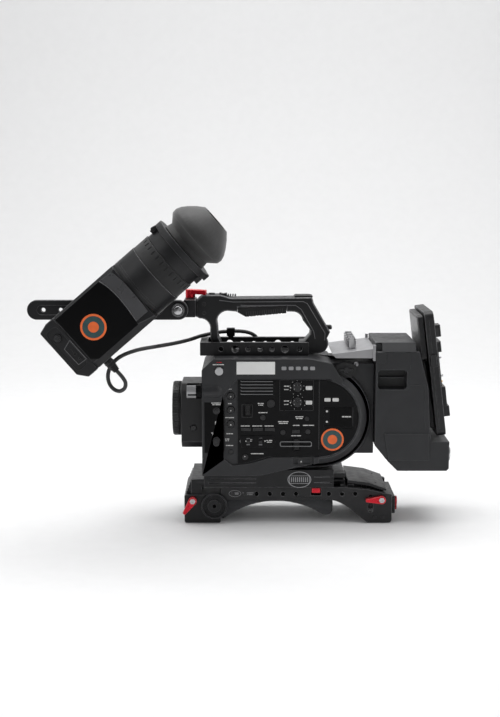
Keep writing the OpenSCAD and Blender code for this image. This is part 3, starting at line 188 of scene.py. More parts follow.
def mixed(nodes, links, factor, a, b):
    """Mix of two colours, each a colour or another node's output, by a factor output."""
    node = nodes.new("ShaderNodeMix")
    node.data_type = "RGBA"
    links.new(factor, node.inputs[0])
    for socket, value in ((node.inputs[6], a), (node.inputs[7], b)):
        if isinstance(value, tuple):
            socket.default_value = (*value, 1)
        else:
            links.new(value, socket)
    return node.outputs[2]


def multiplied(nodes, links, a, b):
    node = nodes.new("ShaderNodeMath")
    node.operation = "MULTIPLY"
    links.new(a, node.inputs[0])
    links.new(b, node.inputs[1])
    return node.outputs[0]


def surface(name, colour, rough, metal=0.0, mottle=0.12, blotch=45, grain=1400, grain_kind="noise",
            depth=0.05, wear_and_highlight_colour=None, wear_and_highlight=0.6, rough_spread=0.07, coat=0.0, sheen=0.0, specular=0.5):
    """A finish: its colour drifts, its roughness varies, its grain is raised, and its rounded edges take another
    colour, partly wear and partly a painted highlight where edges would catch the light.
    """
    material, nodes, links, shader = new_tree(name)
    drift = texture(nodes, links, "noise", blotch, 4.0)
    dark = tuple(c * (1 - mottle) for c in colour)
    light = tuple(min(1, c * (1 + mottle)) for c in colour)
    base = mixed(nodes, links, ranged(nodes, links, drift, 0, 1), dark, light)
    # rounded edges: a colour mixed in along them, partly wear and partly a painted highlight where they would
    # catch the light
    if wear_and_highlight_colour:
        edge = nodes.new("ShaderNodeAttribute")
        edge.attribute_name = "wear_and_highlight"
        rubbed_and_lit = ranged(nodes, links, texture(nodes, links, "noise", blotch * 5), 0.15, wear_and_highlight)
        base = mixed(nodes, links, multiplied(nodes, links, edge.outputs["Fac"], rubbed_and_lit), base, wear_and_highlight_colour)
    links.new(base, shader.inputs["Base Color"])
    smear = texture(nodes, links, "noise", blotch * 2.3, 5.0)
    links.new(ranged(nodes, links, smear, rough - rough_spread, rough + rough_spread),
              shader.inputs["Roughness"])
    bump = nodes.new("ShaderNodeBump")
    bump.inputs["Strength"].default_value = 0.6
    bump.inputs["Distance"].default_value = depth * MM
    links.new(texture(nodes, links, grain_kind, grain), bump.inputs["Height"])
    links.new(bump.outputs["Normal"], shader.inputs["Normal"])
    shader.inputs["Metallic"].default_value = metal
    shader.inputs["Coat Weight"].default_value = coat
    shader.inputs["Coat Roughness"].default_value = 0.08
    shader.inputs["Sheen Weight"].default_value = sheen
    shader.inputs["Specular IOR Level"].default_value = specular
    return material


def glass():
    material, nodes, links, shader = new_tree("coated_glass")
    haze = texture(nodes, links, "noise", 120)
    links.new(ranged(nodes, links, haze, 0.02, 0.07), shader.inputs["Roughness"])
    tint = mixed(nodes, links, ranged(nodes, links, haze, 0, 1), (0.5, 0.62, 0.7), (0.62, 0.6, 0.72))
    links.new(tint, shader.inputs["Base Color"])
    shader.inputs["Transmission Weight"].default_value = 0.8
    shader.inputs["Coat Weight"].default_value = 0.6
    return material


# light grey for rounded edges: partly wear, partly a painted edge highlight
GREY_WEAR_AND_HIGHLIGHT = (0.16, 0.16, 0.165)
LOOKS = {
    "casing": dict(colour=(0.018, 0.0185, 0.0205), rough=0.46, specular=0.4, grain=1500, depth=0.07,
                   wear_and_highlight_colour=(0.10, 0.10, 0.105)),
    "casing_dark": dict(colour=(0.008, 0.008, 0.009), rough=0.42, specular=0.35, grain=1500, depth=0.06,
                        wear_and_highlight_colour=GREY_WEAR_AND_HIGHLIGHT, wear_and_highlight=0.35),
    "control_black": dict(colour=(0.004, 0.004, 0.0045), rough=0.38, specular=0.14, grain=1800, depth=0.03,
                          wear_and_highlight_colour=(0.06, 0.06, 0.063)),
    "key_black": dict(colour=(0.012, 0.012, 0.013), rough=0.34, specular=0.4, grain=2200, depth=0.02,
                      wear_and_highlight_colour=GREY_WEAR_AND_HIGHLIGHT),
    "gloss_black": dict(colour=(0.003, 0.003, 0.0033), rough=0.15, blotch=30, rough_spread=0.04, grain=500,
                        depth=0.006, specular=0.08, wear_and_highlight_colour=(0.05, 0.05, 0.052)),
    "black_metal": dict(colour=(0.007, 0.007, 0.008), rough=0.38, metal=0.1, specular=0.35, grain=3200,
                        depth=0.025, wear_and_highlight_colour=(0.34, 0.34, 0.35), wear_and_highlight=0.7, blotch=60),
    "grey_metal": dict(colour=(0.011, 0.011, 0.012), rough=0.40, metal=0.1, specular=0.4, grain=3000,
                       depth=0.025, wear_and_highlight_colour=(0.34, 0.34, 0.35), wear_and_highlight=0.7, blotch=60),
    "light_grey": dict(colour=(0.17, 0.173, 0.178), rough=0.5, grain=1500, depth=0.05,
                       wear_and_highlight_colour=(0.2, 0.2, 0.2)),
    # grey for badge lines; on the viewfinder and barrel it is a painted highlight, thin lines where edges catch
    # the light
    "badge_and_highlight_grey": dict(colour=(0.19, 0.19, 0.195), rough=0.42, grain=2000, depth=0.03,
                       wear_and_highlight_colour=(0.4, 0.4, 0.4)),
    "red_metal": dict(colour=(0.60, 0.008, 0.022), rough=0.30, metal=0.55, grain=2800, depth=0.02,
                      mottle=0.08, wear_and_highlight_colour=(0.9, 0.35, 0.32), wear_and_highlight=0.7, blotch=70),
    "rubber_black": dict(colour=(0.012, 0.012, 0.0125), rough=0.70, grain=1100, depth=0.08, sheen=0.15,
                         wear_and_highlight_colour=(0.09, 0.09, 0.09), specular=0.35),
    "eyecup_rubber": dict(colour=(0.019, 0.0185, 0.0185), rough=0.60, grain=1600, depth=0.05, sheen=0.35,
                          mottle=0.16, blotch=28, wear_and_highlight_colour=(0.13, 0.13, 0.13), specular=0.4),
    "silver_metal": dict(colour=(0.50, 0.50, 0.51), rough=0.30, metal=0.9, grain=2600, depth=0.008,
                         mottle=0.05, wear_and_highlight_colour=(0.66, 0.66, 0.67), wear_and_highlight=0.5),
    "silver_matt": dict(colour=(0.34, 0.34, 0.35), rough=0.42, metal=0.7, grain=3600, depth=0.008,
                        mottle=0.05, wear_and_highlight_colour=(0.5, 0.5, 0.51), wear_and_highlight=0.5),
    "steel": dict(colour=(0.36, 0.36, 0.37), rough=0.30, metal=0.95, grain=3400, depth=0.02,
                  wear_and_highlight_colour=(0.7, 0.7, 0.7)),
    "gold": dict(colour=(0.72, 0.47, 0.16), rough=0.25, metal=1.0, grain=2400, depth=0.01,
                 wear_and_highlight_colour=(0.9, 0.7, 0.35)),
    "circuit": dict(colour=(0.02, 0.11, 0.045), rough=0.35, grain=900, depth=0.05, wear_and_highlight_colour=(0.3, 0.35, 0.3)),
    "cable_jacket": dict(colour=(0.028, 0.028, 0.029), rough=0.48, grain=1900, depth=0.04, blotch=60),
    "pad_grey": dict(colour=(0.050, 0.051, 0.054), rough=0.80, grain=950, grain_kind="cells", depth=0.22,
                     sheen=0.2, wear_and_highlight_colour=(0.11, 0.11, 0.11), specular=0.25),
    "paper": dict(colour=(0.80, 0.80, 0.79), rough=0.55, mottle=0.03, grain=900, depth=0.02,
                  wear_and_highlight_colour=(0.62, 0.62, 0.6)),
    "ink": dict(colour=(0.62, 0.62, 0.61), rough=0.5, mottle=0.12, blotch=400, grain=1500, depth=0.01),
    "orange_ink": dict(colour=(0.80, 0.14, 0.025), rough=0.42, mottle=0.08, blotch=120, grain=900,
                       depth=0.01),
    "teal_ink": dict(colour=(0.020, 0.062, 0.066), rough=0.40, mottle=0.15, blotch=150, grain=900,
                     depth=0.01),
    # grey for thin ridges and frames and one lighter face; on the ridges it is a painted highlight, for edges that
    # catch the light
    "ridge_and_highlight_grey": dict(colour=(0.13, 0.13, 0.135), rough=0.36, metal=0.3, grain=2500, depth=0.02,
                       blotch=70),
    # painted light: the lighter grey of a sloped face that catches the light
    "painted_slope_light": dict(colour=(0.045, 0.045, 0.048), rough=0.32, grain=1600, depth=0.03, wear_and_highlight_colour=GREY_WEAR_AND_HIGHLIGHT),
    "grip_grey": dict(colour=(0.034, 0.034, 0.035), rough=0.55, grain=1400, depth=0.05, specular=0.4),
    # painted shade: near-black laid where a recess lies in shade
    "recess_painted_shade": dict(colour=(0.004, 0.004, 0.0045), rough=0.6, grain=1200, depth=0.03),
}
FINISH = {name: surface(name, **look) for name, look in LOOKS.items()}
FINISH["lens_glass"] = glass()


# === mesh building ===================================================================
def add_prism(bm, outline, lo, hi, axis="y"):
    """A closed outline pushed along an axis; the outline's two values follow the other two axes."""
    order = {"x": (1, 2, 0), "y": (0, 2, 1), "z": (0, 1, 2)}[axis]
    rings = []
    for level in (lo, hi):
        ring = []
        for a, b in outline:
            co = [0.0, 0.0, 0.0]
            co[order[0]], co[order[1]], co[order[2]] = a, b, level
            ring.append(bm.verts.new(co))
        rings.append(ring)
    bm.faces.new(rings[0])
    bm.faces.new(reversed(rings[1]))
    for i in range(len(outline)):
        j = (i + 1) % len(outline)
        bm.faces.new((rings[0][j], rings[0][i], rings[1][i], rings[1][j]))


def add_box(bm, lo, hi):
    add_prism(bm, [(lo[0], lo[1]), (hi[0], lo[1]), (hi[0], hi[1]), (lo[0], hi[1])], lo[2], hi[2], "z")


def add_lathe(bm, profile, centre=(0, 0, 0), axis="y", steps=48, wave=None):
    """Turns a profile of (radius, height) points about an axis; wave(angle) scales the radius."""
    order = {"x": (1, 2, 0), "y": (2, 0, 1), "z": (0, 1, 2)}[axis]
    rings = []
    for radius, height in profile:
        ring = []
        for i in range(1 if radius < 1e-6 else steps):
            a = 2 * pi * i / steps
            r = radius * (wave(a) if wave else 1)
            co = list(centre)
            co[order[0]] += r * cos(a)
            co[order[1]] += r * sin(a)
            co[order[2]] += height
            ring.append(bm.verts.new(co))
        rings.append(ring)
    for one, two in zip(rings, rings[1:]):
        for i in range(steps):
            j = (i + 1) % steps
            corners = [one[i % len(one)], one[j % len(one)], two[j % len(two)], two[i % len(two)]]
            corners = [v for k, v in enumerate(corners) if v not in corners[:k]]
            if len(corners) > 2:
                bm.faces.new(corners)
    for ring in (rings[0], rings[-1]):
        if len(ring) > 2:
            bm.faces.new(ring)


def add_ring(bm, r0, r1, lo, hi, centre, axis="y", steps=64):
    """A flat ring between two radii and two heights."""
    add_closed_lathe(bm, [(r0, lo), (r1, lo), (r1, hi), (r0, hi)], centre, axis, steps)


def add_closed_lathe(bm, profile, centre, axis="y", steps=64, a0=0.0, a1=360.0):
    """Turns a closed profile, which never touches the axis, through all or part of a turn."""
    order = {"x": (1, 2, 0), "y": (2, 0, 1), "z": (0, 1, 2)}[axis]
    full = abs(a1 - a0) >= 359.9
    rings = []
    for i in range(steps if full else steps + 1):
        a = radians(a0 + (a1 - a0) * i / steps)
        ring = []
        for radius, height in profile:
            co = list(centre)
            co[order[0]] += radius * cos(a)
            co[order[1]] += radius * sin(a)
            co[order[2]] += height
            ring.append(bm.verts.new(co))
        rings.append(ring)
    pairs = list(zip(rings, rings[1:])) + ([(rings[-1], rings[0])] if full else [])
    for one, two in pairs:
        for k in range(len(profile)):
            n = (k + 1) % len(profile)
            bm.faces.new((one[k], one[n], two[n], two[k]))
    if not full:
        bm.faces.new(rings[0])
        bm.faces.new(reversed(rings[-1]))


def add_tube(bm, points, radius, sides=12):
    """A round tube along points."""
    points = [Vector(p) for p in points]
    side = None
    rings = []
    for i, point in enumerate(points):
        ahead = points[min(i + 1, len(points) - 1)] - points[max(i - 1, 0)]
        ahead.normalize()
        if side is None:
            side = ahead.orthogonal().normalized()
        side = (side - ahead * side.dot(ahead)).normalized()
        other = ahead.cross(side)
        angles = [2 * pi * k / sides for k in range(sides)]
        rings.append([bm.verts.new(point + (side * cos(a) + other * sin(a)) * radius) for a in angles])
    for one, two in zip(rings, rings[1:]):
        for k in range(sides):
            n = (k + 1) % sides
            bm.faces.new((one[k], one[n], two[n], two[k]))
    bm.faces.new(reversed(rings[0]))
    bm.faces.new(rings[-1])


def arc(cx, cy, r, a0, a1, steps=8):
    turn = [radians(a0 + (a1 - a0) * i / steps) for i in range(steps + 1)]
    return [(cx + r * cos(a), cy + r * sin(a)) for a in turn]


def round_outline(x0, y0, x1, y1, r, steps=5):
    """A rectangle with round corners."""
    return (arc(x1 - r, y0 + r, r, -90, 0, steps) + arc(x1 - r, y1 - r, r, 0, 90, steps)
            + arc(x0 + r, y1 - r, r, 90, 180, steps) + arc(x0 + r, y0 + r, r, 180, 270, steps))


def sharp_edges(bm, angle):
    limit = radians(angle)
    return [e for e in bm.edges if len(e.link_faces) == 2 and e.calc_face_angle(0) > limit]


def room_beside(edge):
    """How far a bevel of this edge can reach before it meets the next corner."""
    room = 1e9
    for vertex in edge.verts:
        along = (edge.other_vert(vertex).co - vertex.co).normalized()
        for other in vertex.link_edges:
            if other is edge:
                continue
            away = other.other_vert(vertex).co - vertex.co
            if away.normalized().dot(along) < -0.86:
                continue
            room = min(room, away.cross(along).length)
    return room


BEVEL_REACH = 0.42              # the share of the room beside an edge that its bevel may take
LEAST_BEVEL = 0.05


def finished(name, bm, finish, node, width=0.0, angle=30, place=UPRIGHT, body=None):
    """Makes a piece drawn in millimetres: it rides with the node, unless a body is named."""
    bmesh.ops.recalc_face_normals(bm, faces=bm.faces)
    bmesh.ops.transform(bm, matrix=Matrix.Scale(MM, 4) @ place, verts=bm.verts)
    return clothed(name, bm, finish, node, width, angle, body)


def clothed(name, bm, finish, node, width, angle=30, body=None):
    """The piece itself: outward edges sharper than angle are rounded by width, in millimetres."""
    width *= MM
    material = FINISH[finish]
    mesh = bpy.data.meshes.new(name)
    layer = bm.edges.layers.float.get("bevel_weight_edge") or bm.edges.layers.float.new("bevel_weight_edge")
    for face in bm.faces:
        face.smooth = True
        face.material_index = 0
    for edge in sharp_edges(bm, angle):
        rounded = width > 0 and edge.is_convex
        reach = BEVEL_REACH * room_beside(edge) / width if rounded else 0.0
        edge[layer] = max(LEAST_BEVEL, min(1.0, reach)) if rounded else 0.0
        edge.smooth = rounded
    bm.to_mesh(mesh)
    bm.free()
    piece = placed(name, mesh)
    if width:
        mesh.materials.append(material)
        mesh.materials.append(material)
        bevel = piece.modifiers.new("edges", "BEVEL")
        bevel.limit_method = "WEIGHT"
        bevel.width = width
        bevel.segments = 2
        bevel.use_clamp_overlap = False
        bevel.material = 1
        bevel.miter_outer = "MITER_ARC"
        mark_wear_and_highlight(applied(piece))
    piece.data.materials.clear()
    piece.data.materials.append(material)
    normals = piece.modifiers.new("normals", "WEIGHTED_NORMAL")
    normals.keep_sharp = True
    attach(piece, body or BODY_OF[node])
    return piece


def mark_wear_and_highlight(mesh):
    """Writes a value of 1 along the middle of each rounded edge, fading to 0 at its sides: the mask of edge wear
    and of the painted edge highlight.
    """
    on_edge = [True] * len(mesh.vertices)
    touched = [False] * len(mesh.vertices)
    for face in mesh.polygons:
        for index in face.vertices:
            if face.material_index == 1:
                touched[index] = True
            else:
                on_edge[index] = False
        face.material_index = 0
    wear_and_highlight = mesh.attributes.new("wear_and_highlight", "FLOAT", "POINT")
    wear_and_highlight.data.foreach_set("value", [1.0 if a and b else 0.0 for a, b in zip(on_edge, touched)])


def skin(node, finish, width):
    """A CAD node's own shape with rounded edges, standing for that node."""
    bm = bmesh.new()
    bm.from_mesh(NODES[node].data)
    bmesh.ops.remove_doubles(bm, verts=bm.verts, dist=2e-6)
    bmesh.ops.dissolve_limit(bm, angle_limit=radians(0.8), verts=bm.verts, edges=bm.edges)
    bmesh.ops.recalc_face_normals(bm, faces=bm.faces)
    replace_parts(clothed(node + "_skin", bm, finish, node, width), node)


# === viewfinder lead, in the stretches between its moving supports ===================
def make_cable():
    """Three stretches end to end, each a round tube along its share of the route."""
    points = [PLUG_END, PLUG_END - ACROSS * 9] + [Vector(p) for p in ROUTE_TAIL]
    spine = smooth_route(points, PLUG_END + ACROSS * 9)
    stretches = [
        ("lead_at_viewfinder", 0, 12, "viewfinder", "evf_carriage", (-90, -75, 234), (-59.5, -75, 234)),
        ("lead_at_carriage", 12, 14, "evf_carriage", "evf_arm", (-53, -54, 237), (-21, -12, 237)),
        ("lead_at_arm", 14, 23, "evf_arm", "camera", (-15, -4, 238), (14, 20, 243)),
    ]
    for name, first, last, near, far, start, end in stretches:
        path = spine[first * LEAD_STEPS:last * LEAD_STEPS + 1]
        bm = bmesh.new()
        add_tube(bm, path, CABLE_D / 2, 16)
        bmesh.ops.recalc_face_normals(bm, faces=bm.faces)
        bmesh.ops.transform(bm, matrix=Matrix.Scale(MM, 4), verts=bm.verts)
        mesh = bpy.data.meshes.new(name)
        bm.to_mesh(mesh)
        bm.free()
        mesh.polygons.foreach_set("use_smooth", [True] * len(mesh.polygons))
        mesh.materials.append(FINISH["cable_jacket"])
        piece = placed(name, mesh)
        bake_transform(piece)
        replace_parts(piece, "evf_cable")


make_cable()


# === CAD nodes with rounded edges and their finishes =================================
# node: finish, width of the rounded edges in millimetres
SKINS = {
    "base_plate": ("black_metal", 0.4), "side_plates": ("grey_metal", 0.7), "rear_cover": ("grey_metal", 0.5),
    "front_block": ("black_metal", 0.6), "rear_bracket": ("black_metal", 0.4),
    "front_lever": ("red_metal", 0.7), "rear_lever": ("red_metal", 0.7), "back_lever": ("red_metal", 0.7),
    "release_button": ("red_metal", 0.5), "base_screws": ("key_black", 0.25), "camera_plate": ("black_metal",
                                                                                               0.5),
    "shell_left": ("casing", 1.3), "shell_right": ("casing", 1.3), "control_panel": ("control_black", 0.4),
    "evf_joystick": ("key_black", 0.5), "media_door": ("gloss_black", 0.35), "sensor_block": ("circuit", 0.3),
    "lens_mount": ("casing_dark", 1.2), "nd_dial": ("gloss_black", 0.8), "lens_release": ("key_black", 0.4),
    "panel_buttons": ("key_black", 0.35), "gain_switch": ("key_black", 0.3),
    "menu_dial": ("rubber_black", 0.35), "iris_wheel": ("rubber_black", 0.35), "power_switch": ("key_black",
                                                                                                0.3),
    "white_balance_switch": ("key_black", 0.3), "deck_plate": ("black_metal", 0.6),
    "handle_frame": ("black_metal", 2.2), "handle_grip": ("rubber_black",
                                                          0.5), "handle_button": ("key_black", 0.5),
    "zoom_rocker": ("rubber_black", 0.5), "rail_clamp": ("black_metal", 0.7), "rail_lever": ("red_metal",
                                                                                             0.8),
    "cable_clip": ("control_black", 0.6), "evf_arm": ("black_metal", 0.9), "pivot_knob": ("black_metal", 0.7),
    "evf_carriage": ("black_metal", 0.8), "evf_housing": ("casing_dark", 1.1), "evf_end_cap": ("casing_dark",
                                                                                               1.4),
    "evf_barrel": ("casing_dark", 0.5), "focus_ring": ("rubber_black", 0.35), "eyepiece": ("casing_dark",
                                                                                           0.7),
    "evf_optics": ("lens_glass", 0.3), "extension_body": ("casing", 1.0), "extension_deck": ("silver_matt",
                                                                                             0.5),
    "battery_plate": ("grey_metal", 0.7), "battery_release": ("key_black", 0.5), "rosettes": ("black_metal",
                                                                                              0.3),
    "mount_cap": ("key_black", 0.7), "assign_button_1": ("key_black", 0.5), "assign_button_2": ("key_black",
                                                                                                0.5),
    "assign_button_3": ("key_black", 0.5), "eyecup": ("eyecup_rubber", 0.6), "cable_plug": ("rubber_black",
                                                                                            0.5),
    "connectors": ("silver_metal", 0.3), "rec_button": ("silver_metal", 0.7),
}
for node_name, (finish_name, edge_width) in SKINS.items():
    skin(node_name, finish_name, edge_width)


# === places on the surfaces ==========================================================
def surface_tree(*nodes):
    """The CAD surface of some nodes, in millimetres, to set printed and applied pieces on."""
    points, faces = [], []
    for node in nodes:
        mesh = NODES[node].data
        start = len(points)
        points += [v.co / MM for v in mesh.vertices]
        faces += [[start + i for i in polygon.vertices] for polygon in mesh.polygons]
    return BVHTree.FromPolygons(points, faces)


CASING_SIDE = surface_tree("shell_left", "control_panel", "media_door", "camera_plate", "side_plates",
                           "extension_body")


def near_y(x, z, tree=CASING_SIDE):
    """Where the operator's side of the surface is, at x and z."""
    return tree.ray_cast(Vector((x, -400, z)), Vector((0, 1, 0)))[0].y


def add_disc(bm, x, y, z, r, thick, steps=32):
    add_lathe(bm, [(0, 0), (r, 0), (r, -thick), (0, -thick)], (x, y, z), "y", steps)


STRIP_EDGE, STRIP_TOP = 30, 178         # the front strip lies before this x and below this z
PRINT_LIFT, STRIP_PRINT_LIFT = 0.06, 0.46


def add_label(bm, x, z, length, rows=1, height=1.15, parts=3):
    """A printed legend: rows of short bars, which stand for words without spelling any."""
    draw = random.Random(int(x * 31 + z * 17))
    y = near_y(x, z)
    lift = STRIP_PRINT_LIFT if x < STRIP_EDGE and z < STRIP_TOP else PRINT_LIFT
    for row in range(rows):
        centre = z + ((rows - 1) / 2 - row) * height * 1.9
        cuts = sorted(draw.uniform(0.2, 0.8) for _ in range(parts - 1))
        stops = [0.0] + cuts + [1.0]
        span = length * (1.0 if row == 0 else 0.82)
        for a, b in zip(stops, stops[1:]):
            lo, hi = x - span / 2 + span * a, x - span / 2 + span * b - 0.5
            if hi - lo > 0.4:
                add_box(bm, (lo, y - lift, centre - height / 2), (hi, y + 0.2, centre + height / 2))


def add_frame_line(bm, outline, inner, y, thick):
    """A thin raised line that follows a closed outline; inner is the same outline, drawn smaller."""
    rings = []
    for points, level in ((outline, y + 0.15), (outline, y - thick), (inner, y - thick), (inner, y + 0.15)):
        rings.append([bm.verts.new((a, level, b)) for a, b in points])
    for k in range(4):
        one, two = rings[k], rings[(k + 1) % 4]
        for i in range(len(outline)):
            j = (i + 1) % len(outline)
            bm.faces.new((one[i], one[j], two[j], two[i]))


def oval(cx, cz, a, b, steps=48):
    turn = [2 * pi * i / steps for i in range(steps)]
    return [(cx + a * cos(t), cz + b * sin(t)) for t in turn]


# === operator's side of the casing ===================================================
def make_print():
    """Legends, marks and labels on the operator's side; a legend is its middle's x and z, length and rows."""
    ink = bmesh.new()
    legends = [
        (21.9, 212.3, 15, 1), (109.7, 184, 7, 1), (109.5, 179.6, 6, 1), (109.7, 164.6, 7, 1), (109.5, 160, 6,
                                                                                               1),
        (76.5, 160.2, 8, 2), (79.3, 149.2, 12, 1), (56.5, 131.6, 12, 1), (71.9, 131.6, 13, 1), (87.3, 131.6,
                                                                                                12, 1),
        (105.7, 136.2, 14, 2), (122.4, 132.4, 9, 1), (138.4, 132.4, 15, 1), (126.3, 142.6, 11, 2),
        (122.4, 118.7, 13, 1), (71.9, 94.8, 17, 1), (19.2, 161, 14, 2), (19.2, 121.4, 14, 2),
        (36.4, 179.7, 5, 1), (36.4, 160.8, 5, 1), (36, 142.3, 12, 1), (36, 121, 9, 1), (32.7, 112.8, 6, 2),
        (36, 105.3, 10, 1), (64, 113, 3, 2), (87.6, 111.6, 8, 2),
    ]
    for x, z, length, rows in legends:
        add_label(ink, x, z, length, rows)
    # dots on the switches and round the dials, and boxes beside the dials
    for x, z, r in ((57.1, 111.9, 0.9), (81.8, 111.9, 0.9), (37.4, 170.3, 0.8), (37.4, 151.7, 0.8),
                    (37.4, 133, 0.8),
                    (55.6, 91.2, 0.7), (114.6, 182, 0.8), (114.6, 162.4, 0.8), (128.9, 84.6, 0.9)):
        add_disc(ink, x, near_y(x, z, PANEL_KEYS) + 0.1, z, r, 0.25, 16)
    for x, z in ((138.4, 181.6), (138.6, 162.4)):
        y = near_y(x, z)
        add_prism(ink, round_outline(x - 4.2, z - 2.6, x + 4.2, z + 2.6, 1.1), y - 0.08, y + 0.2)
    y = near_y(20.4, 135.6)
    add_prism(ink, round_outline(17, 133.2, 21.8, 138, 0.6), y - 0.48, y + 0.2)
    for x, z in ((122.9, 181.9), (124.3, 162.2)):
        for k in range(9):
            a = radians(-150 + 37.5 * k + 90)
            px, pz = x + 9.3 * cos(a), z + 9.3 * sin(a)
            add_disc(ink, px, near_y(px, pz) + 0.1, pz, 0.42, 0.18, 10)
    finished("legends", ink, "ink", "control_panel")
    paper = bmesh.new()
    y = near_y(70, 208)
    add_prism(paper, round_outline(45, 199.6, 94.5, 216, 0.5), y - 0.3, y + 0.2)
    finished("blank_label", paper, "paper", "control_panel", 0.1)
    blocks = bmesh.new()
    for k in range(5):
        x = 106 + 9.2 * k
        y = near_y(x, 207.5)
        add_prism(blocks, round_outline(x - 3.1, 205.2, x + 3.1, 209.8, 1.2), y - 0.35, y + 0.2)
    finished("front_marks", blocks, "silver_matt", "control_panel", 0.1)
    red = bmesh.new()
    add_label(red, 22.8, 215.2, 7, 1, 0.9)
    finished("record_mark", red, "red_metal", "control_panel")


PANEL_KEYS = surface_tree("shell_left", "control_panel", "panel_buttons", "assign_button_1",
                          "assign_button_2",
                          "assign_button_3", "gain_switch", "white_balance_switch", "power_switch")


STICKER = (("rim", "orange_ink"), ("field", "teal_ink"), ("dot", "orange_ink"))


def finish_sticker(name, meshes, node, place=UPRIGHT):
    for bm, (part, finish) in zip(meshes, STICKER):
        finished(name + part, bm, finish, node, 0.05, place=place)


def add_sticker(rings, x, z, r):
    """A round sticker: an outer ring, a dark field and a plain dot; rings holds their three meshes."""
    y = near_y(x, z)
    rim, field, dot = rings
    add_ring(rim, r * 0.84, r, y - 0.45, y - 0.02, (x, 0, z), "y", 72)
    add_lathe(field, [(0, y - 0.02), (r * 0.86, y - 0.02), (r * 0.86, y - 0.36), (0, y - 0.36)], (x, 0, z),
              "y", 64)
    add_ring(dot, 0.0001, r * 0.42, y - 0.42, y - 0.3, (x, 0, z), "y", 48)


def make_panel_trim():
    """Raised lines, bezels and louvre lips that the panel carries."""
    y = near_y(60, 120)
    # bezel of the two slide switches, pointed at both ends, and a bar above each of them
    x0, x1, zm, h = 48.5, 94.5, 111.6, 5.9
    bezel = [(x0, zm), (x0 + 3.6, zm - h), (x1 - 3.2, zm - h), (x1, zm), (x1 - 3.2, zm + h),
             (x0 + 3.6, zm + h)]
    inner = [(x0 + 3.2, zm), (x0 + 5.6, zm - h + 2.2), (x1 - 5.2, zm - h + 2.2), (x1 - 3.2, zm),
             (x1 - 5.2, zm + h - 2.2), (x0 + 5.6, zm + h - 2.2)]
    grey = bmesh.new()
    add_frame_line(grey, bezel, inner, y, 0.9)
    for x in (57.1, 81.8):
        add_box(grey, (x - 3, y - 0.35, zm + 2.6), (x + 9.4, y + 0.2, zm + 3.6))
    # track of the slide at the right
    add_frame_line(grey, round_outline(101, 105.2, 142.4, 112.2, 2.2),
                   round_outline(102, 106.2, 141.4, 111.2, 1.6),
                   low("shell_left").y, 0.5)
    # louvre lips, each with a turned-up left end
    for k in range(5):
        z = 189.6 - 4.22 * k
        ly = near_y(96, z + 2)
        add_prism(grey,
                  [(51, z), (92, z), (92, z + 0.95), (51.6, z + 0.95), (50.4, z + 1.9), (49.9, z + 1.2)],
                  ly - 0.45, ly + 0.5)
    finished("panel_bezels", grey, "light_grey", "control_panel", 0.15)
    dark = bmesh.new()
    # edge of the plate that holds the audio dials, the thumb wheel's frame, the seam beside the drum
    add_frame_line(dark, round_outline(100.5, 151.6, 144.6, 192.4, 1.2),
                   round_outline(101.1, 152.2, 144, 191.8, 0.9),
                   near_y(110, 172), 0.45)
    add_frame_line(dark, round_outline(51.4, 142.8, 65.6, 160.2, 1.2),
                   round_outline(52.4, 143.8, 64.6, 159.2, 0.9),
                   near_y(53, 152), 0.6)
    sy = near_y(151, 150)
    add_box(dark, (151.2, sy - 0.4, 100.5), (152.3, sy + 0.3, 192))
    add_frame_line(dark, round_outline(113.6, 79.6, 142.8, 90.4, 1.6), round_outline(115, 81, 141.4, 89, 1),
                   near_y(121, 92), 0.5)
    finished("panel_lines", dark, "key_black", "control_panel", 0.12)


def make_front_strip():
    """The glossy strip at the casing's front edge, with its two round buttons; labels on it are lifted."""
    bm = bmesh.new()
    y = near_y(20, 140)
    outline = [(3.2, 172), (7, 177), (22, 177), (28.2, 171), (29.2, 164), (29.2, 98.5), (26, 96), (3.2, 96)]
    add_prism(bm, outline, y - 0.4, y + 0.3)
    finished("front_strip", bm, "gloss_black", "control_panel", 0.25)
    keys = bmesh.new()
    for z in (151.7, 112.6):
        add_ring(keys, 3.6, 4.6, y - 0.75, y, (18.8, 0, z), "y", 40)
        add_lathe(keys, [(0, y), (3.2, y), (3.2, y - 0.9), (2.6, y - 1.3), (0, y - 1.4)], (18.8, 0, z), "y",
                  32)
    finished("front_strip_keys", keys, "key_black", "control_panel", 0.12)


def make_drum():
    """The media window, the marks by it, and the sticker."""
    rings = [bmesh.new() for _ in range(3)]
    add_sticker(rings, 169.3, 113.6, 14.8)
    finish_sticker("drum_sticker_", rings, "control_panel")
    window = bmesh.new()
    y = near_y(175, 145)
    add_frame_line(window, round_outline(157.6, 129.6, 203.4, 157.4, 1.4),
                   round_outline(158.6, 130.6, 202.4, 156.4, 1),
                   y + 0.1, 0.45)
    add_prism(window, round_outline(158.9, 133, 165.4, 154.2, 1.4), y - 0.5, y + 0.2)
    finished("media_frame", window, "control_black", "media_door", 0.15, body="camera")
    dots = bmesh.new()
    for z in (151.1, 137.3):
        add_disc(dots, 161.9, y - 0.5, z, 1.35, 0.25, 24)
    add_label(dots, 187.5, 143.8, 12, 1, 1.5)
    for x in (162.5, 173):
        ly = near_y(x, 166)
        add_prism(dots, round_outline(x - 4, 163.8, x + 4, 168.4, 1), ly - 0.1, ly + 0.2)
    finished("media_marks", dots, "ink", "media_door", body="camera")


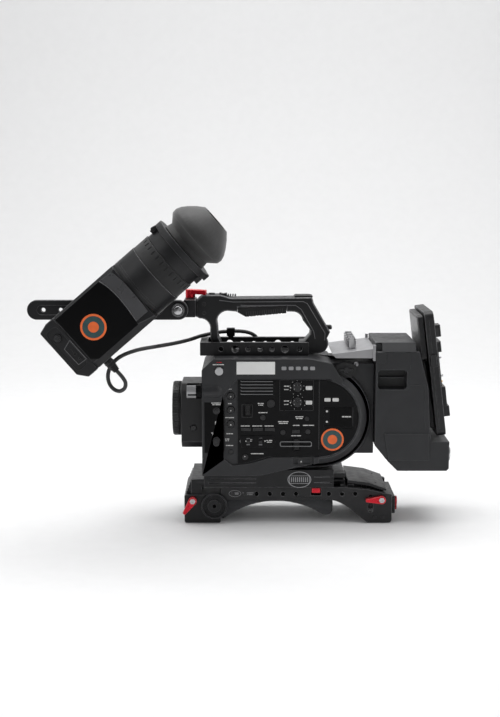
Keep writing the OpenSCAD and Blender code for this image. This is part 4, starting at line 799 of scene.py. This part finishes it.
def make_strap_lug():
    """A near-black almond painted as the shade of a recess above the drum, with a strap bar and two screws."""
    almond = arc(186, 188, 24, 125, 55, 10) + arc(186, 216, 24, -55, -125, 10)
    y = near_y(176, 204)
    recess, bar = bmesh.new(), bmesh.new()
    # painted shade: a thin near-black almond laid on the surface for the recess
    add_prism(recess, [(a + 0.5, b + 1.5) for a, b in almond], y - 0.15, y + 0.4)
    finished("strap_recess_shade", recess, "recess_painted_shade", "control_panel", 0.1)
    add_prism(bar, round_outline(184.6, 200.4, 189.6, 207.6, 1.2), y - 2.2, y)
    add_prism(bar, round_outline(178, 202.6, 196, 205.4, 1.2), y - 1.6, y)
    finished("strap_bar", bar, "key_black", "control_panel", 0.35)
    screws = bmesh.new()
    for x, z, r in ((200.2, 210.6, 3.0), (195.4, 198.4, 2.4)):
        sy = near_y(x, z)
        add_ring(screws, r * 0.55, r, sy - 0.8, sy + 0.3, (x, 0, z), "y", 32)
        add_lathe(screws, [(0, sy + 0.2), (r * 0.5, sy + 0.2), (r * 0.5, sy - 0.25), (0, sy - 0.25)],
                  (x, 0, z), "y", 20)
    finished("strap_screws", screws, "steel", "control_panel", 0.15)


def make_badges():
    """Plain oval badges on the camera plate and the side plate, and the ink beside the small one."""
    bm = bmesh.new()
    y = near_y(127, 58.9)
    add_frame_line(bm, oval(127, 58.9, 15.4, 10.9), oval(127, 58.9, 14.5, 10.0), y, 0.4)
    for k in range(9):
        x = 116.6 + 2.6 * k
        add_prism(bm, round_outline(x - 0.55, 55.6, x + 0.55, 62.2, 0.4), y - 0.4, y + 0.2)
    add_frame_line(bm, round_outline(113.6, 53.4, 140.4, 64.4, 1.6),
                   round_outline(114.3, 54.1, 139.7, 63.7, 1.2), y, 0.3)
    finished("plate_badge", bm, "silver_matt", "camera_plate", 0.12)
    # painted highlight: thin grey ridges for the light on the plate's grooves
    ridges = bmesh.new()
    for x0, x1, z in ((28, 99, 59.4), (24, 99, 54.2), (146, 167, 62.4), (146, 167, 55)):
        for x in (x0, (x0 + x1) / 2):
            ry = near_y(x + 2, z)
            add_box(ridges, (x, ry - 0.3, z - 0.35), (x + (x1 - x0) / 2, ry + 0.3, z + 0.35))
    finished("plate_highlight_ridges", ridges, "ridge_and_highlight_grey", "camera_plate", 0.1)
    small = bmesh.new()
    sy = near_y(40, 39)
    add_frame_line(small, oval(42.5, 39.6, 8.2, 4.6), oval(42.5, 39.6, 7.5, 3.9), sy, 0.25)
    add_prism(small, round_outline(37.6, 38, 47.4, 41.2, 0.8), sy - 0.25, sy + 0.2)
    add_label(small, 60, 39.4, 15, 2, 1.2, 2)
    finished("side_badge", small, "badge_and_highlight_grey", "side_plates", 0.08)


def make_audio_dials():
    """Ribbed dials with a raised pointer and a bright index line."""
    for node in ("audio_dial_1", "audio_dial_2"):
        x, z, y0, y1 = middle(node).x, middle(node).z, low(node).y, high(node).y
        radius = (high(node).x - low(node).x) / 2
        bm = bmesh.new()
        add_lathe(bm, [(0, y1), (radius - 0.3, y1), (radius - 0.3, y0 + 1.6), (radius - 0.9, y0 + 1.0),
                       (0, y0 + 1.0)], (x, 0, z), "y", 96, lambda a: 1 + 0.035 * cos(24 * a))
        add_prism(bm, round_outline(x - 1.1, z - radius + 1.2, x + 1.1, z + radius - 1.2, 0.9), y0, y0 + 1.2)
        dial = finished(node + "_knob", bm, "key_black", node, 0.15, 40)
        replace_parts(dial, node)
        mark = bmesh.new()
        add_box(mark, (x - 0.25, y0, z + 1.2), (x + 0.25, y0 + 0.3, z + radius - 1.8))
        for k in range(6):
            a = radians(60 * k + 30)
            add_disc(mark, x + 4.6 * cos(a), y0 + 1.1, z + 4.6 * sin(a), 0.42, 0.2, 10)
        finished(node + "_mark", mark, "ink", node)


make_audio_dials()
make_print()
make_panel_trim()
make_front_strip()
make_drum()
make_strap_lug()
make_badges()


# === viewfinder ======================================================================
EVF = frame_matrix(TILT, ALONG, (0, 1, 0))      # its own (t, y, n): along, towards the far side, up
EVF_FACE = low("evf_housing").y


def evf_finished(name, bm, finish, width, node="evf_housing"):
    finished(name, bm, finish, node, width, place=EVF)


def make_viewfinder():
    """Gloss panel, a grey line painted as the highlight on its edge, a flat band behind it painted lighter where
    the slope catches the light, the sticker, the seams round the barrel, and a grey ring painted as a highlight
    round the barrel.
    """
    face = EVF_FACE - TILT.y
    edge = [(27.5, 37.2), (30.4, 27), (31.8, 16), (32.2, 6), (31.7, -5), (30.7, -17), (29.4, -28),
            (28.6, -32.4)]
    panel = bmesh.new()
    add_prism(panel, [(-42.6, -26), (-42.6, 37.2)] + edge + [(-35, -32.4)], face - 0.4, face + 0.6)
    evf_finished("viewfinder_gloss", panel, "gloss_black", 0.25)
    # painted light: a flat band lighter than the panel, standing for the sloped face where it catches the light
    slope = bmesh.new()
    outer = [(46.5, 35.5), (48.2, 26), (49.4, 16), (49.8, 6), (49.6, -5), (49, -17), (48, -28)]
    inner = [(a + 1.1, b) for a, b in edge[:7]]
    add_prism(slope, inner + outer[::-1], face - 0.3, face + 0.6)
    evf_finished("viewfinder_slope_light", slope, "painted_slope_light", 0.25)
    # painted highlight: a thin grey line along the panel's edge, where the raised edge would catch the light
    line = bmesh.new()
    add_prism(line, [(a + 0.25, b) for a, b in edge[:7]] + [(a + 0.75, b) for a, b in edge[:7]][::-1],
              face - 0.5, face + 0.6)
    evf_finished("viewfinder_highlight_line", line, "badge_and_highlight_grey", 0.05)
    rings = [bmesh.new() for _ in range(3)]
    top = face - 0.4
    add_ring(rings[0], 13.4, 16, top - 0.45, top, (-14, 0, 0.6), "y", 72)
    add_lathe(rings[1], [(0, top), (13.7, top), (13.7, top - 0.34), (0, top - 0.34)], (-14, 0, 0.6), "y", 64)
    add_lathe(rings[2], [(0, top - 0.3), (6.6, top - 0.3), (6.6, top - 0.44), (0, top - 0.44)],
              (-14, 0, 0.6), "y", 48)
    finish_sticker("viewfinder_sticker_", rings, "evf_housing", EVF)
    # seams round the barrel
    seams = bmesh.new()
    radius = (high("evf_barrel") - low("evf_barrel")).y / 2
    for t in (4.6, 7.2):
        add_ring(seams, 38, 41.05, 49.8 + t, 50.2 + t + 0.5, (0, 0, 0), "x", 96)
    evf_finished("barrel_seams", seams, "key_black", 0.1, "evf_barrel")
    # painted highlight: a thin grey ring round the barrel
    bright = bmesh.new()
    add_ring(bright, 38, min(radius, 41.1), 80.7, 81.1, (0, 0, 0), "x", 96)
    evf_finished("barrel_highlight_line", bright, "badge_and_highlight_grey", 0.05, "evf_barrel")


make_viewfinder()


# === base: lever screws and the teeth of the handgrip seats ==========================
def make_base_details():
    """Teeth of the two handgrip seats, and a hexagon screw on each side lever."""
    teeth = bmesh.new()
    centre = (low("rosettes") + high("rosettes")) / 2
    for side in (-1, 1):
        y = low("rosettes").y if side < 0 else high("rosettes").y
        for k in range(48):
            a = 2 * pi * k / 48
            out, turn = Vector((cos(a), 0, sin(a))), Vector((-sin(a), 0, cos(a)))
            ring = []
            for r, w in ((10.2, 0.35), (14.6, 0.52)):
                base = Vector((centre.x, y - side * 2.9, centre.z)) + out * r
                ring.append((base - turn * w, base + turn * w, base + Vector((0, side * 0.9, 0))))
            a0, b0, c0 = (teeth.verts.new(p) for p in ring[0])
            a1, b1, c1 = (teeth.verts.new(p) for p in ring[1])
            for corners in ((a0, b0, c0), (a1, c1, b1), (a0, a1, b1, b0), (b0, b1, c1, c0), (c0, c1, a1, a0)):
                teeth.faces.new(corners)
    finished("rosette_teeth", teeth, "grey_metal", "rosettes")
    for node in ("front_lever", "rear_lever"):
        bm = bmesh.new()
        x, _, z = (c / MM for c in JOINTS[node + "_turn"]["pos_m"])
        y = low(node).y
        hexagon = oval(x, z, 1.7, 1.7, 6)
        add_frame_line(bm, oval(x, z, 3.9, 3.9, 6), hexagon, y, 1.0)
        add_disc(bm, x, y + 0.2, z, 3.4, 0.3, 24)
        finished(node + "_screw", bm, "silver_metal", node, 0.15)


make_base_details()


# === rear extension and battery plate ================================================
BATTERY = frame_matrix((306.3, 0, 116), (cos(radians(7.2)), 0, sin(radians(7.2))),
                       (0, 1, 0))


def make_extension_details():
    """A near-black sheet painted as shade at the back of the finger recess, seams and ledges on the side, three
    flat panels on the top, and a ring round the power port.
    """
    for side, word in ((-1, "left"), (1, "right")):
        def across(outline, depth_in, depth_out, bm):
            add_prism(bm, outline, *sorted((side * depth_in, side * depth_out)))

        # painted shade: a thin near-black sheet at the back of the finger recess
        dark = bmesh.new()
        across(round_outline(228.4, 181.2, 263.2, 203.8, 3.2), 44.2, 44.9, dark)
        finished("recess_shade_" + word, dark, "recess_painted_shade", "extension_body", 0.15)
        trim = bmesh.new()
        across([(230, 193.4), (262, 193.4), (262, 195), (230, 195)], 44.6, 49, trim)
        across([(232, 178.6), (265, 178.6), (267.4, 181), (266.4, 181.8), (264.6, 179.8), (232, 179.8)], 56,
               57.0, trim)
        across([(268.2, 206), (269.3, 206), (269.3, 228), (268.2, 228)], 56, 56.9, trim)
        across([(269.4, 184.8), (288.6, 184.8), (288.6, 186.2), (269.4, 186.2)], 56, 57.1, trim)
        across([(288.9, 128), (290.2, 128), (288.2, 186), (286.9, 186)], 56, 57.0, trim)
        across(round_outline(225.2, 214.6, 237.2, 228.2, 2), 56, 58.2, trim)
        finished("extension_trim_" + word, trim, "casing", "extension_body", 0.3)
    top = bmesh.new()
    for y in (-24, 0, 24):
        add_prism(top, round_outline(236, y - 8.5, 270, y + 8.5, 2), 239.8, 240.0, "z")
    finished("extension_top_panels", top, "casing_dark", "extension_body", 0.1)
    port = bmesh.new()
    add_ring(port, 6.4, 8.4, 318, 321.2, (0, -34.5, 93), "x", 40)
    finished("power_port_ring", port, "silver_matt", "connectors", 0.3)


def battery_finished(name, bm, finish, width):
    finished(name, bm, finish, "battery_plate", width, place=BATTERY)


def make_battery_details():
    """Inner slab with its face and links, ribs, screws, and the gold contact pins."""
    slab = bmesh.new()
    add_prism(slab, round_outline(-42, 100, 42, 160, 6), -8.2, -1.2, "x")
    battery_finished("battery_inner_slab", slab, "grey_metal", 0.7)
    face = bmesh.new()
    add_prism(face, round_outline(-38, 104, 38, 156, 4), -8.7, -8.1, "x")
    battery_finished("battery_inner_face", face, "ridge_and_highlight_grey", 0.2)
    link = bmesh.new()
    for y in (-26, 26):
        add_prism(link, round_outline(y - 4, 118, y + 4, 142, 2), -1.4, 0.3, "x")
    battery_finished("battery_slab_links", link, "black_metal", 0.2)
    pins = bmesh.new()
    for y in (-15, -5, 5, 15):
        for z in (66, 98):
            add_lathe(pins, [(0, 15.6), (1.5, 15.6), (1.5, 18.4), (1.1, 19.0), (0, 19.0)], (0, y, z), "x", 16)
    battery_finished("battery_pins", pins, "gold", 0.1)
    screws = bmesh.new()
    for y in (-40, 40):
        for z in (14, 84, 150):
            add_ring(screws, 1.2, 2.6, 11.9, 12.5, (0, y, z), "x", 24)
    battery_finished("battery_screws", screws, "steel", 0.15)
    ribs = bmesh.new()
    for k in range(5):
        z = 112 + 2.2 * k
        add_box(ribs, (19.3, -30, z), (19.9, 30, z + 1.1))
    for y in (-24, 24):
        add_prism(ribs, round_outline(y - 6, 24.5, y + 6, 33.5, 1.5), 21.8, 22.4, "x")
        add_prism(ribs, round_outline(y - 6, 131, y + 6, 141, 1.5), 20.8, 21.4, "x")
    battery_finished("battery_ribs", ribs, "key_black", 0.2)


# === handle, deck and arm ============================================================
def make_handle_details():
    """Contour ridges in a grey painted as highlights along the handle's edges, the rear pad on top, grip ribs, and
    screws on the nose.
    """
    ridges = bmesh.new()
    # painted highlight: thin grey ridges along the handle's outline, where its rounded edges catch the light
    for side in (-1, 1):
        y = side * 14.0
        for outline in ([(22, 291), (40, 288.8), (132, 289.4), (137.6, 286.6), (161, 247.5), (160.6, 238)],
                        [(50, 284.6), (60, 284), (122, 284.4), (129.6, 279), (146, 250), (148, 240)]):
            add_tube(ridges, [(a, y, b) for a, b in outline], 0.5, 8)
    finished("handle_highlight_ridges", ridges, "ridge_and_highlight_grey", "handle_frame")
    pad = bmesh.new()
    add_prism(pad, [(119, 293.6), (144, 293.6), (145, 296.2), (141, 297.2), (122, 297.2)], -11, 11)
    finished("handle_rear_pad", pad, "rubber_black", "handle_frame", 0.7)
    ribs = bmesh.new()
    for k in range(17):
        x = 57.6 + 2.95 * k
        z = 269.6 + (x - 57) * 0.094
        add_tube(ribs, [(x, -12.6, z + 1.2), (x, -11.6, z), (x, 11.6, z), (x, 12.6, z + 1.2)], 0.85, 8)
        for side in (-1, 1):
            add_tube(ribs, [(x, side * 12.9, z + 0.8), (x, side * 13.1, z + 3.4), (x, side * 12.9, z + 6)],
                     0.5, 6)
    finished("grip_ribs", ribs, "grip_grey", "handle_grip")
    screws = bmesh.new()
    for x, z in ((2, 286), (2, 274)):
        for side in (-1, 1):
            lo, hi = sorted((side * 13.8, side * 14.5))
            add_ring(screws, 1.3, 2.7, lo, hi, (x, 0, z), "y", 24)
    finished("nose_screws", screws, "key_black", "handle_frame", 0.15)
    top = bmesh.new()
    for k in range(4):
        x = 33.6 + 3.1 * k
        add_tube(top, [(x, -6, 296), (x, -5, 297.1), (x, 5, 297.1), (x, 6, 296)], 1.0, 8)
    finished("handle_top_bumps", top, "rubber_black", "handle_frame")


def make_deck_details():
    """Slotted screws on the deck's floor, and the knob's dome and ring."""
    screws = bmesh.new()
    for x in (46, 74, 98):
        add_lathe(screws, [(0, 223.3), (3.2, 223.3), (3.2, 225.0), (2.6, 225.6), (0, 225.8)], (x, 0, 0), "z",
                  28)
        add_box(screws, (x - 2.4, -0.4, 225.6), (x + 2.4, 0.4, 226))
    finished("deck_screws", screws, "steel", "deck_plate", 0.1)
    dome = bmesh.new()
    x, z, y = middle("pivot_knob").x, middle("pivot_knob").z, low("pivot_knob").y
    profile = [(5.9 * cos(radians(a)), y - 2.6 * sin(radians(a))) for a in range(0, 91,
                                                                                                     10)]
    add_lathe(dome, [(0, y + 0.3), (5.9, y + 0.3)] + profile, (x, 0, z), "y", 40)
    finished("knob_dome", dome, "silver_metal", "pivot_knob", 0.1, 50)
    ring = bmesh.new()
    add_ring(ring, 6.9, 7.5, y - 0.4, y + 0.3, (x, 0, z), "y", 48)
    finished("knob_ring", ring, "silver_matt", "pivot_knob", 0.1)


def make_plug_details():
    """Ribs of the strain relief, and the collar where the plug enters the housing."""
    root = TILT + ALONG * PLUG_ALONG - ACROSS * PLUG_ROOT
    place = frame_matrix(root, -ACROSS, (0, 1, 0))
    ribs = bmesh.new()
    for k in range(5):
        t = 1.0 + 1.75 * k
        r = 5.75 - 0.16 * t
        add_closed_lathe(ribs,
                         [(3.2, t - 0.55), (r - 0.4, t - 0.55), (r, t - 0.2), (r, t + 0.2),
                          (r - 0.4, t + 0.55),
                                (3.2, t + 0.55)], (0, 0, 0), "x", 28)
    finished("strain_relief_ribs", ribs, "rubber_black", "cable_plug", place=place)
    collar = bmesh.new()
    add_ring(collar, 4.5, 6.5, -6.4, -4.0, (0, 0, 0), "x", 40)
    finished("plug_collar", collar, "key_black", "cable_plug", 0.3, place=place)


def make_cap_details():
    """Inset frame and small keys on the near side of the viewfinder's end cap."""
    face = low("evf_end_cap").y - TILT.y
    frame_line = bmesh.new()
    outer = [(-59.2, 4), (-46.2, 8), (-46.2, -23), (-58.8, -22)]
    inner = [(-58.4, 3.2), (-47, 6.9), (-47, -22.2), (-58, -21.2)]
    add_frame_line(frame_line, outer, inner, face, 0.5)
    evf_finished("cap_frame", frame_line, "ridge_and_highlight_grey", 0.12, "evf_end_cap")
    keys = bmesh.new()
    for t, n, r in ((-52.6, -9, 2.5), (-52.4, -16.6, 1.7)):
        add_ring(keys, r * 0.62, r, face - 0.9, face + 0.2, (t, 0, n), "y", 32)
    evf_finished("cap_keys", keys, "key_black", 0.12, "evf_end_cap")


# === front: mount flange, cap grip, dial pod =========================================
def make_front_details():
    """Knurling round the cap, the mount's bright flange, and the raised bracket by the dial."""
    centre = (0, 0, middle("mount_cap").z)
    lo, hi = low("mount_cap").x, high("mount_cap").x
    knurl = bmesh.new()
    radius = (high("mount_cap").z - low("mount_cap").z) / 2
    for k in range(72):
        a = 2 * pi * k / 72
        out = Vector((0, cos(a), sin(a)))
        base = Vector(centre) + out * (radius - 0.35)
        add_tube(knurl, [base + Vector((lo + 2.2, 0, 0)), base + Vector((lo + 10.5, 0, 0))], 0.5, 6)
    finished("cap_knurl", knurl, "key_black", "mount_cap")
    flange = bmesh.new()
    add_ring(flange, 30.5, 34.2, hi + 0.35, hi + 1.5, centre, "x", 96)
    finished("mount_flange", flange, "silver_metal", "lens_mount", 0.25)
    cap_face = bmesh.new()
    for r in (12, 22, 31):
        add_ring(cap_face, r, r + 0.7, lo, lo + 0.6, centre, "x", 72)
    finished("cap_face_rings", cap_face, "key_black", "mount_cap", 0.1)
    bracket = bmesh.new()
    y = low("nd_dial").y
    axis = (0, y + 10.9, 177)
    add_closed_lathe(bracket, [(10.3, -19.4), (10.85, -19.4), (10.85, -7.5), (10.3, -7.5)], axis, "x", 24,
                     130, 232)
    finished("dial_bracket", bracket, "silver_matt", "nd_dial", 0.1)
    ring = bmesh.new()
    x, z = middle("rec_button").x, middle("rec_button").z
    ry = near_y(x + 6.6, z)
    add_ring(ring, 5.5, 6.7, ry - 0.45, ry + 0.3, (x, 0, z), "y", 48)
    finished("rec_button_ring", ring, "key_black", "control_panel", 0.2)


# === shoulder pad ====================================================================
def make_pad():
    """A foam pad: the CAD block with crowned faces, pulled-in edges, a sewn seam and quilting channels."""
    bm = bmesh.new()
    bm.from_mesh(NODES["shoulder_pad"].data)
    bmesh.ops.remove_doubles(bm, verts=bm.verts, dist=2e-6)
    mesh = bpy.data.meshes.new("shoulder_cushion")
    bm.to_mesh(mesh)
    bm.free()
    pad = placed("shoulder_cushion", mesh)
    remesh = pad.modifiers.new("remesh", "REMESH")
    remesh.mode = "VOXEL"
    remesh.voxel_size = 0.0022
    remesh.use_smooth_shade = True
    soften = pad.modifiers.new("soften", "SMOOTH")
    soften.factor = 0.5
    soften.iterations = 14
    made = applied(pad)
    lowest, highest = low("shoulder_pad"), high("shoulder_pad")
    for vertex in made.vertices:
        p = vertex.co / MM
        inward = 0.0
        for seam in (-20, 0, 20):
            inward += 1.3 * exp(-((p.y - seam) / 1.7) ** 2)
        side = (abs(p.y) - (highest.y - 3)) / 3
        if side < 0.6:
            vertex.co -= vertex.normal * inward * MM * 0.9
        else:
            band = exp(-((p.z - (lowest.z + highest.z) / 2) / 1.3) ** 2)
            vertex.co -= vertex.normal * band * 0.8 * MM
    made.polygons.foreach_set("use_smooth", [True] * len(made.polygons))
    made.materials.clear()
    made.materials.append(FINISH["pad_grey"])
    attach(pad, BODY_OF["shoulder_pad"])
    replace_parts(pad, "shoulder_pad")


make_extension_details()
make_battery_details()
make_handle_details()
make_deck_details()
make_plug_details()
make_cap_details()
make_front_details()
make_pad()


# === studio ==========================================================================
def make_floor():
    """A pale sweep: floor, curve and backdrop in one sheet."""
    bm = bmesh.new()
    depth, rise, bend, half = 1.9, 3.2, 0.9, 4.0
    profile = [(-3.5, 0.0), (depth - bend, 0.0)]
    for i in range(1, 13):
        a = radians(90 * i / 12)
        profile.append((depth - bend + bend * sin(a), bend - bend * cos(a)))
    profile.append((depth, rise))
    rows = [[bm.verts.new((x, y, z)) for y, z in profile] for x in (-half, half)]
    for i in range(len(profile) - 1):
        bm.faces.new((rows[0][i], rows[1][i], rows[1][i + 1], rows[0][i + 1]))
    mesh = bpy.data.meshes.new("floor")
    bm.to_mesh(mesh)
    bm.free()
    for face in mesh.polygons:
        face.use_smooth = True
    floor = placed("floor", mesh)
    floor.location.z = -0.0005
    mesh.materials.append(surface("pale_floor", (0.765, 0.765, 0.767), 0.75, mottle=0.01, grain=60,
                                  depth=0.05))


def area_light(name, place, target, size, power):
    data = bpy.data.lights.new(name, "AREA")
    data.shape = "RECTANGLE"
    data.size, data.size_y = size
    data.energy = power
    lamp = placed(name, data)
    lamp.location = place
    lamp.rotation_euler = (Vector(target) - Vector(place)).to_track_quat("-Z", "Y").to_euler()


def make_light():
    """A large overhead box, two side boxes and a weak front fill, in a room that is dim in front."""
    world = bpy.data.worlds.new("room")
    world.use_nodes = True
    nodes, links = world.node_tree.nodes, world.node_tree.links
    split = nodes.new("ShaderNodeSeparateXYZ")
    links.new(nodes.new("ShaderNodeTexCoord").outputs["Generated"], split.inputs["Vector"])
    pale, dim = (0.84, 0.845, 0.85), (0.14, 0.141, 0.144)
    background = nodes["Background"]
    links.new(mixed(nodes, links, ranged(nodes, links, split.outputs["Y"], 0, 1, -0.9, 0.3), dim, pale),
              background.inputs["Color"])
    background.inputs["Strength"].default_value = 0.9
    bpy.context.scene.world = world
    centre = (0.12, 0.0, 0.2)
    area_light("top_box", (0.1, 0.15, 1.9), centre, (2.2, 1.6), 36)
    area_light("left_box", (-1.7, -1.0, 1.1), centre, (1.0, 1.6), 7)
    area_light("right_box", (1.9, -0.7, 0.9), centre, (1.0, 1.6), 6)
    area_light("front_fill", (0.3, -2.6, 1.3), centre, (2.4, 1.2), 3)
    area_light("backdrop_wash", (0.1, 0.7, 2.3), (0.1, 1.9, 0.5), (3.0, 0.6), 13)
    bpy.context.scene.view_settings.view_transform = "Standard"


make_floor()
make_light()


# === corners of a box ================================================================
def corners(box):
    return [list(map(float, corner)) for corner in box]
